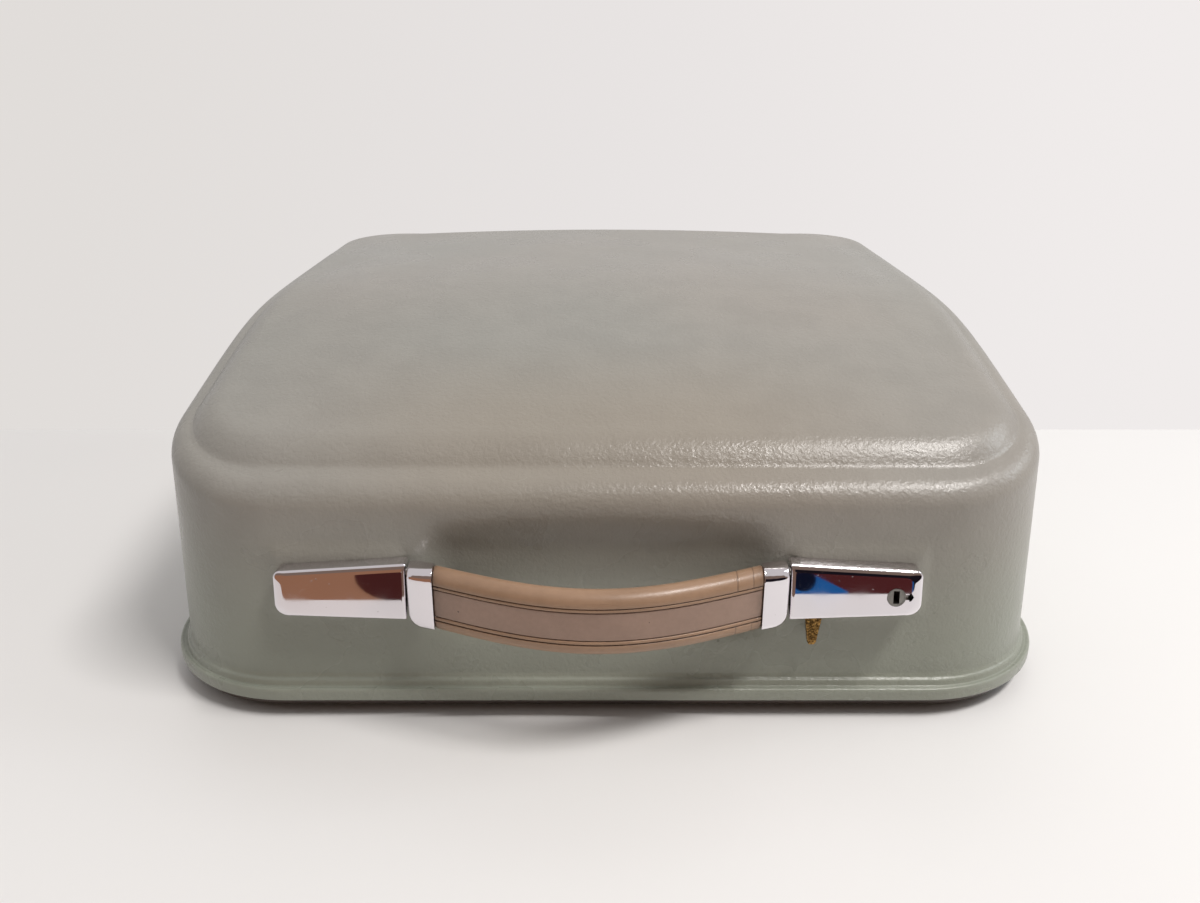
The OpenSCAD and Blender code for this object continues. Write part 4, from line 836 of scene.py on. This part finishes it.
def steel_finish():
    """Dull plated steel: cloudy tone, spots of tarnish, drawn grain."""
    material, tree, where = start("plated_steel")
    tone = place(tree, mottle_group(), Vector=where, Scale=60.0, Tone=tint("steel"),
                 Other_Tone=tuple(0.8 * c for c in tint("steel")[:3]) + (1,))["Colour"]
    spots = place(tree, speck_group(), Vector=where, Scale=240.0, Size=0.2, Bare=0.85)["Mask"]
    tone = mix(tree, math_node(tree, "MULTIPLY", spots, 0.6), tone, (0.2, 0.13, 0.08, 1))
    drawn = put(tree, "ShaderNodeMapping", {"Vector": where, "Scale": (0.06, 1.0, 1.0)})
    line = noise(tree, drawn.outputs[0], 900, 3)
    bump = put(tree, "ShaderNodeBump", {"Height": line, "Distance": 0.00003, "Strength": 1.0})
    gloss = ramp(tree, noise(tree, where, 120, 3), 0.3, 0.7, 0.3, 0.46)
    close(tree, Base_Color=tone, Metallic=1.0, Roughness=gloss, Normal=bump.outputs[0])
    return material


def brass_finish():
    """Worn brass: dark tarnish with bright rubbed flecks."""
    material, tree, where = start("worn_brass")
    rub = ramp(tree, noise(tree, where, 700, 4, 0.65, 1.2), 0.42, 0.6)
    dark = tuple(0.2 * c for c in tint("brass")[:3]) + (1,)
    tone = mix(tree, rub, dark, tint("brass"))
    bump = put(tree, "ShaderNodeBump", {"Height": rub, "Distance": 0.00012, "Strength": 0.8})
    gloss = ramp(tree, rub, 0, 1, 0.5, 0.28)
    close(tree, Base_Color=tone, Metallic=1.0, Roughness=gloss, Normal=bump.outputs[0])
    return material


def enamel_finish():
    """Dark brown enamel with an orange-peel surface, dust and small chips."""
    material, tree, where = start("dark_enamel")
    tone = place(tree, mottle_group(), Vector=where, Scale=24.0, Tone=tint("enamel"),
                 Other_Tone=tuple(0.7 * c for c in tint("enamel")[:3]) + (1,))["Colour"]
    chips = place(tree, speck_group(), Vector=where, Scale=130.0, Size=0.13, Bare=0.93)["Mask"]
    tone = mix(tree, chips, tone, (0.22, 0.2, 0.18, 1))
    grain = place(tree, grain_group(), Vector=where, Scale=500.0, Depth=0.0001, Slow_Depth=0.0002)
    gloss = ramp(tree, noise(tree, where, 50, 3), 0.3, 0.7, 0.34, 0.5)
    close(tree, Base_Color=tone, Roughness=gloss, Normal=grain["Normal"])
    return material


def rubber_finish():
    """Matt rubber with a bloom of dust."""
    material, tree, where = start("foot_rubber")
    tone = place(tree, mottle_group(), Vector=where, Scale=90.0, Tone=tint("rubber"),
                 Other_Tone=tuple(1.7 * c for c in tint("rubber")[:3]) + (1,))["Colour"]
    grain = place(tree, grain_group(), Vector=where, Scale=1400.0, Depth=0.0001,
                  Slow_Depth=0.0001)
    gloss = ramp(tree, noise(tree, where, 90, 2), 0.3, 0.7, 0.68, 0.84)
    close(tree, Base_Color=tone, Roughness=gloss, Normal=grain["Normal"])
    return material


FINISHES = {"shell_moulding": shell_finish, "grip_plastic": grip_finish, "chrome": chrome_finish,
            "plated_steel": steel_finish, "worn_brass": brass_finish,
            "dark_enamel": enamel_finish, "foot_rubber": rubber_finish}


def finish(slot):
    """The material of a slot, made when it is first asked for."""
    found = bpy.data.materials.get(slot)
    if found is None or not found.use_nodes or "case" not in found:
        found = FINISHES[slot]()
        found["case"] = slot
        found.name = slot
    return found


def dress(slot, *nodes):
    """Gives CAD nodes that stay a finish."""
    for node in nodes:
        piece = NODES[node]
        piece.data.materials.clear()
        piece.data.materials.append(finish(slot))


# Operators

class CASE_OT_cover(bpy.types.Operator):
    """Build the moulded cover as one surface"""

    bl_idname = "case.cover"
    bl_label = "Cover"

    def execute(self, context):
        lay("cover", cover_rings(), "cover", finish("shell_moulding"),
            ["cover_shell"])
        return {"FINISHED"}


class CASE_OT_plates(bpy.types.Operator):
    """Build the two bright plates, the right one cut for the lock"""

    bl_idname = "case.plates"
    bl_label = "Plates"

    def execute(self, context):
        lay("plate_left", plate_rings(-1), "cover", finish("chrome"),
            ["handle_plate_left"], sharp=PLATE_SHARP)
        right = lay("plate_right", plate_rings(1), "cover", finish("chrome"),
                    ["lock_plate"], sharp=PLATE_SHARP)
        _, outer, _, _ = plate_places()
        x, z, r = mm("hand_x") + outer - mm("lock_in"), mm("lock_z"), mm("lock_r") + 0.12
        turn = np.linspace(0, 2 * math.pi, 72, endpoint=False)
        ring = np.stack([x + r * np.cos(turn), z + r * np.sin(turn)], 1)
        key = np.array([[2.6, -1], [4.8, -1], [4.8, -1.6], [5.6, -1.5], [6.6, 0], [5.6, 1.5],
                        [4.8, 1.6], [4.8, 1], [2.6, 1]]) + [x, z]
        cut(right, prism("cutter_ring", ring, -6, 1.5), prism("cutter_key", key, -6, 1.4))
        right.data.set_sharp_from_angle(angle=math.radians(PLATE_SHARP))
        return {"FINISHED"}


class CASE_OT_handle(bpy.types.Operator):
    """Build the grip and its two ferrules"""

    bl_idname = "case.handle"
    bl_label = "Handle"

    def execute(self, context):
        rings, masks = grip_rings()
        lay("grip", rings, "handle", finish("grip_plastic"), ["handle_grip"],
            masks=masks)
        for side, word in ((-1, "left"), (1, "right")):
            lay("ferrule_" + word + "_bright", ferrule_rings(side), "handle",
                finish("chrome"), ["ferrule_" + word])
        dress("plated_steel", "handle_strap", "handle_pins")
        return {"FINISHED"}


class CASE_OT_lock(bpy.types.Operator):
    """Finish the lock, the latch behind the front wall and its tab"""

    bl_idname = "case.lock"
    bl_label = "Lock and latch"

    def execute(self, context):
        dress("plated_steel", "lock_barrel", "lock_plug", "lock_cam", "cam_screw", "latch_bar",
              "latch_carrier", "carrier_nuts", "carrier_spacers", "plate_studs", "bar_guides",
              "detent_spring")
        dress("worn_brass", "release_tab", "tab_rivets")
        return {"FINISHED"}


class CASE_OT_base(bpy.types.Operator):
    """Finish the base with its feet, hinges, catches and machine fixings"""

    bl_idname = "case.base"
    bl_label = "Base"

    def execute(self, context):
        lay("pan", pan_rings(), "base", finish("dark_enamel"), ["base_pan"])
        dress("dark_enamel", "base_rim")
        dress("foot_rubber", "base_feet", "machine_pads")
        dress("plated_steel", "foot_screws", "hinge_bracket_left", "hinge_bracket_right",
              "hinge_pins", "bracket_rivets", "catch_bracket_left", "catch_bracket_right",
              "catch_studs", "machine_studs", "clip_bracket_left", "clip_bracket_right",
              "clip_pins", "clip_left", "clip_right", "hinge_leaf_left", "hinge_leaf_right",
              "hinge_rivets")
        return {"FINISHED"}


def room_tone(tree, where):
    """Backdrop tone across the picture: sideways place over the distance from the lens, with painted
    light falloff, darker to the left and lighter to the right.
    """
    x, y, z = put(tree, "ShaderNodeSeparateXYZ", {0: where}).outputs
    away = put(tree, "ShaderNodeMath", {0: y, 1: 0.9385, 2: 0.526}, operation="MULTIPLY_ADD")
    away = put(tree, "ShaderNodeMath", {0: z, 1: -0.3453, 2: away.outputs[0]},
               operation="MULTIPLY_ADD")
    across = math_node(tree, "DIVIDE", x, away.outputs[0])
    tone = mix(tree, ramp(tree, across, -0.65, 0.1), tint("backdrop_shaded_left"), tint("wall"))
    return mix(tree, ramp(tree, across, -0.1, 0.65), tone, tint("backdrop_lit_right"))


def floor_finish():
    """Pale table near the case, fading to the backdrop's glowing tone where the wall would stand,
    with its painted light falloff from the darker left to the lighter right.
    """
    material, tree, where = start("table_top")
    axis = put(tree, "ShaderNodeSeparateXYZ", {0: where})
    cloud = ramp(tree, noise(tree, where, 3, 2), 0.3, 0.7, 0.985, 1.0)
    base = put(tree, "ShaderNodeVectorMath", {0: tint("floor")[:3], 3: cloud}, operation="SCALE")
    rough = put(tree, "ShaderNodeBsdfPrincipled", {"Base Color": base.outputs[0],
                                                   "Roughness": 0.4})
    even = put(tree, "ShaderNodeEmission", {"Color": room_tone(tree, where), "Strength": 1.0})
    seen = put(tree, "ShaderNodeLightPath").outputs["Is Camera Ray"]
    past = ramp(tree, axis.outputs[1], 0.1895, 0.1925)
    blend = put(tree, "ShaderNodeMixShader", {0: math_node(tree, "MULTIPLY", seen, past),
                                              1: rough.outputs[0], 2: even.outputs[0]})
    put(tree, "ShaderNodeOutputMaterial", {"Surface": blend.outputs[0]})
    return material


def backdrop():
    """Upright wall far behind the table, seen by the camera only; it glows with the backdrop tone and
    its painted light falloff.
    """
    mesh = bpy.data.meshes.new("backdrop")
    mesh.from_pydata([(-6, 3, -0.01), (6, 3, -0.01), (6, 3, 3), (-6, 3, 3)], [], [(0, 1, 2, 3)])
    material, tree, where = start("backdrop")
    glow = put(tree, "ShaderNodeEmission", {"Color": room_tone(tree, where), "Strength": 1.0})
    put(tree, "ShaderNodeOutputMaterial", {"Surface": glow.outputs[0]})
    mesh.materials.append(material)
    piece = bpy.data.objects.new("backdrop", mesh)
    bpy.context.scene.collection.objects.link(piece)
    piece.visible_diffuse = piece.visible_glossy = piece.visible_shadow = False


def lamp(name, place_at, aim, size, power, tone):
    """Soft rectangular lamp aimed at a point."""
    light = bpy.data.lights.new(name, "AREA")
    light.shape = "RECTANGLE"
    light.size, light.size_y = size
    light.energy = power
    light.color = tone
    piece = bpy.data.objects.new(name, light)
    piece.location = place_at
    piece.rotation_euler = (Vector(aim) - Vector(place_at)).to_track_quat("-Z", "Y").to_euler()
    bpy.context.scene.collection.objects.link(piece)
    return piece


def block(x0, x1, z0, z1):
    """Corners of an upright rectangle, as x and z."""
    return [(x0, z0), (x1, z0), (x1, z1), (x0, z1)]


def disc(x, z, wide, high):
    """Outline of an upright ellipse that stands on the table."""
    turn = np.linspace(0, 2 * math.pi, 48, endpoint=False)
    points = np.stack([x + wide * np.cos(turn), np.maximum(z + high * np.sin(turn), 0)], 1)
    return points.tolist()


def card(name, points, y, tone, shades=False):
    """Upright card that glows with a tone, standing in for the room in front, which the camera never
    sees: bright surfaces show it as a painted reflection, and when it shades it also throws painted
    shade on the case's front."""
    mesh = bpy.data.meshes.new(name)
    mesh.from_pydata([(x, y, z) for x, z in points], [], [tuple(range(len(points)))])
    material, tree, _ = start(name)
    glow = put(tree, "ShaderNodeEmission", {"Color": (*tone, 1), "Strength": 1.0})
    put(tree, "ShaderNodeOutputMaterial", {"Surface": glow.outputs[0]})
    mesh.materials.append(material)
    piece = bpy.data.objects.new(name, mesh)
    bpy.context.scene.collection.objects.link(piece)
    piece.visible_camera = False
    piece.visible_diffuse = shades
    piece.visible_shadow = False


class CASE_OT_stage(bpy.types.Operator):
    """Set the table, the light and the camera"""

    bl_idname = "case.stage"
    bl_label = "Stage"

    def execute(self, context):
        scene = context.scene
        mesh = bpy.data.meshes.new("table")
        reach = 9.0
        mesh.from_pydata([(-reach, -reach, 0), (reach, -reach, 0), (reach, reach, 0),
                          (-reach, reach, 0)], [], [(0, 1, 2, 3)])
        mesh.materials.append(floor_finish())
        table = bpy.data.objects.new("table", mesh)
        scene.collection.objects.link(table)
        world = bpy.data.worlds.new("room")
        scene.world = world
        world.use_nodes = True
        tree = world.node_tree
        tree.nodes.clear()
        path = put(tree, "ShaderNodeLightPath")
        around = put(tree, "ShaderNodeBackground", {"Color": (1.0, 0.99, 0.98, 1),
                                                    "Strength": 0.52})
        shine = put(tree, "ShaderNodeBackground", {"Color": tint("wall"), "Strength": 0.8})
        seen = put(tree, "ShaderNodeBackground", {"Color": tint("wall"), "Strength": 1.0})
        bright = put(tree, "ShaderNodeMixShader", {0: path.outputs["Is Glossy Ray"],
                                                   1: around.outputs[0], 2: shine.outputs[0]})
        both = put(tree, "ShaderNodeMixShader", {0: path.outputs["Is Camera Ray"],
                                                 1: bright.outputs[0], 2: seen.outputs[0]})
        put(tree, "ShaderNodeOutputWorld", {"Surface": both.outputs[0]})
        lamp("overhead", (0.74, -0.55, 1.6), (0.0, 0.0, 0.1), (0.7, 0.25), 22.5, (1.0, 0.965, 0.94))
        lamp("window", (1.5, 0.05, 1.0), (0.0, -0.05, 0.08), (0.5, 0.5), 4, (0.88, 0.95, 1.0))
        rear = lamp("rear", (0.0, 1.4, 1.6), (0.0, 0.0, 0.08), (1.6, 1.0), 4, (1.0, 0.98, 0.97))
        rear.visible_glossy = False
        # Glowing cards whose tones show as painted reflections in the plates.
        for name, points, y, tone in (
                ("card_tan", block(-0.6, -0.118, 0, 0.13), -0.3932, (150, 108, 84)),
                ("card_left", disc(-0.122, 0.015, 0.032, 0.0165), -0.3927, (70, 34, 32)),
                ("card_middle", block(-0.118, 0.119, 0, 0.13), -0.4094, (120, 96, 84)),
                ("card_dark", block(0.119, 0.6, 0, 0.13), -0.4096, (26, 22, 28)),
                ("card_maroon", block(0.119, 0.202, 0, 0.017), -0.4093, (78, 36, 36)),
                ("card_sky", [(0.119, 0), (0.156, 0), (0.156, 0.0015), (0.134, 0.0125),
                              (0.119, 0.006)], -0.4091, (34, 90, 150)),
                ("card_navy", disc(0.1275, 0.009, 0.0078, 0.0072), -0.4089, (16, 20, 36)),
                ("card_blue", block(0.202, 0.2105, 0, 0.0115), -0.4091, (34, 90, 150))):
            card(name, points, y, paint(*tone))
        # Dim glowing card in front: painted shade on the case's front.
        card("card_room", block(-2.0, 2.0, 0.0, 0.9), -0.95, paint(124, 106, 96), shades=True)
        backdrop()
        data = bpy.data.cameras.new("camera")
        data.sensor_width = 36
        data.lens = 28.06
        data.clip_start = 0.01
        camera = bpy.data.objects.new("camera", data)
        camera.location = (-0.0022, -0.4765, 0.228)
        camera.rotation_euler = (math.radians(90 - 20.2), 0, 0)
        scene.collection.objects.link(camera)
        scene.camera = camera
        scene.view_settings.view_transform = "Standard"
        return {"FINISHED"}


class CASE_PT_panel(bpy.types.Panel):
    """The case's pieces, sizes and colours"""

    bl_label = "Typewriter Case"
    bl_idname = "CASE_PT_panel"
    bl_space_type = "VIEW_3D"
    bl_region_type = "UI"
    bl_category = "Case"

    def draw(self, context):
        for step in STEPS:
            self.layout.operator(step.bl_idname)
        for block in (context.scene.case_sizes, context.scene.case_colours):
            box = self.layout.box()
            for key in block.__annotations__:
                box.prop(block, key)


STEPS = (CASE_OT_cover, CASE_OT_plates, CASE_OT_handle, CASE_OT_lock, CASE_OT_base, CASE_OT_stage)
CLASSES = (CaseSizes, CaseColours, *STEPS, CASE_PT_panel)


def register():
    for item in CLASSES:
        bpy.utils.register_class(item)
    bpy.types.Scene.case_sizes = PointerProperty(type=CaseSizes)
    bpy.types.Scene.case_colours = PointerProperty(type=CaseColours)


def unregister():
    del bpy.types.Scene.case_sizes
    del bpy.types.Scene.case_colours
    for item in reversed(CLASSES):
        bpy.utils.unregister_class(item)


def main():
    register()
    bpy.ops.case.cover()
    bpy.ops.case.plates()
    bpy.ops.case.handle()
    bpy.ops.case.lock()
    bpy.ops.case.base()
    bpy.ops.case.stage()


if __name__ == "__main__":
    main()
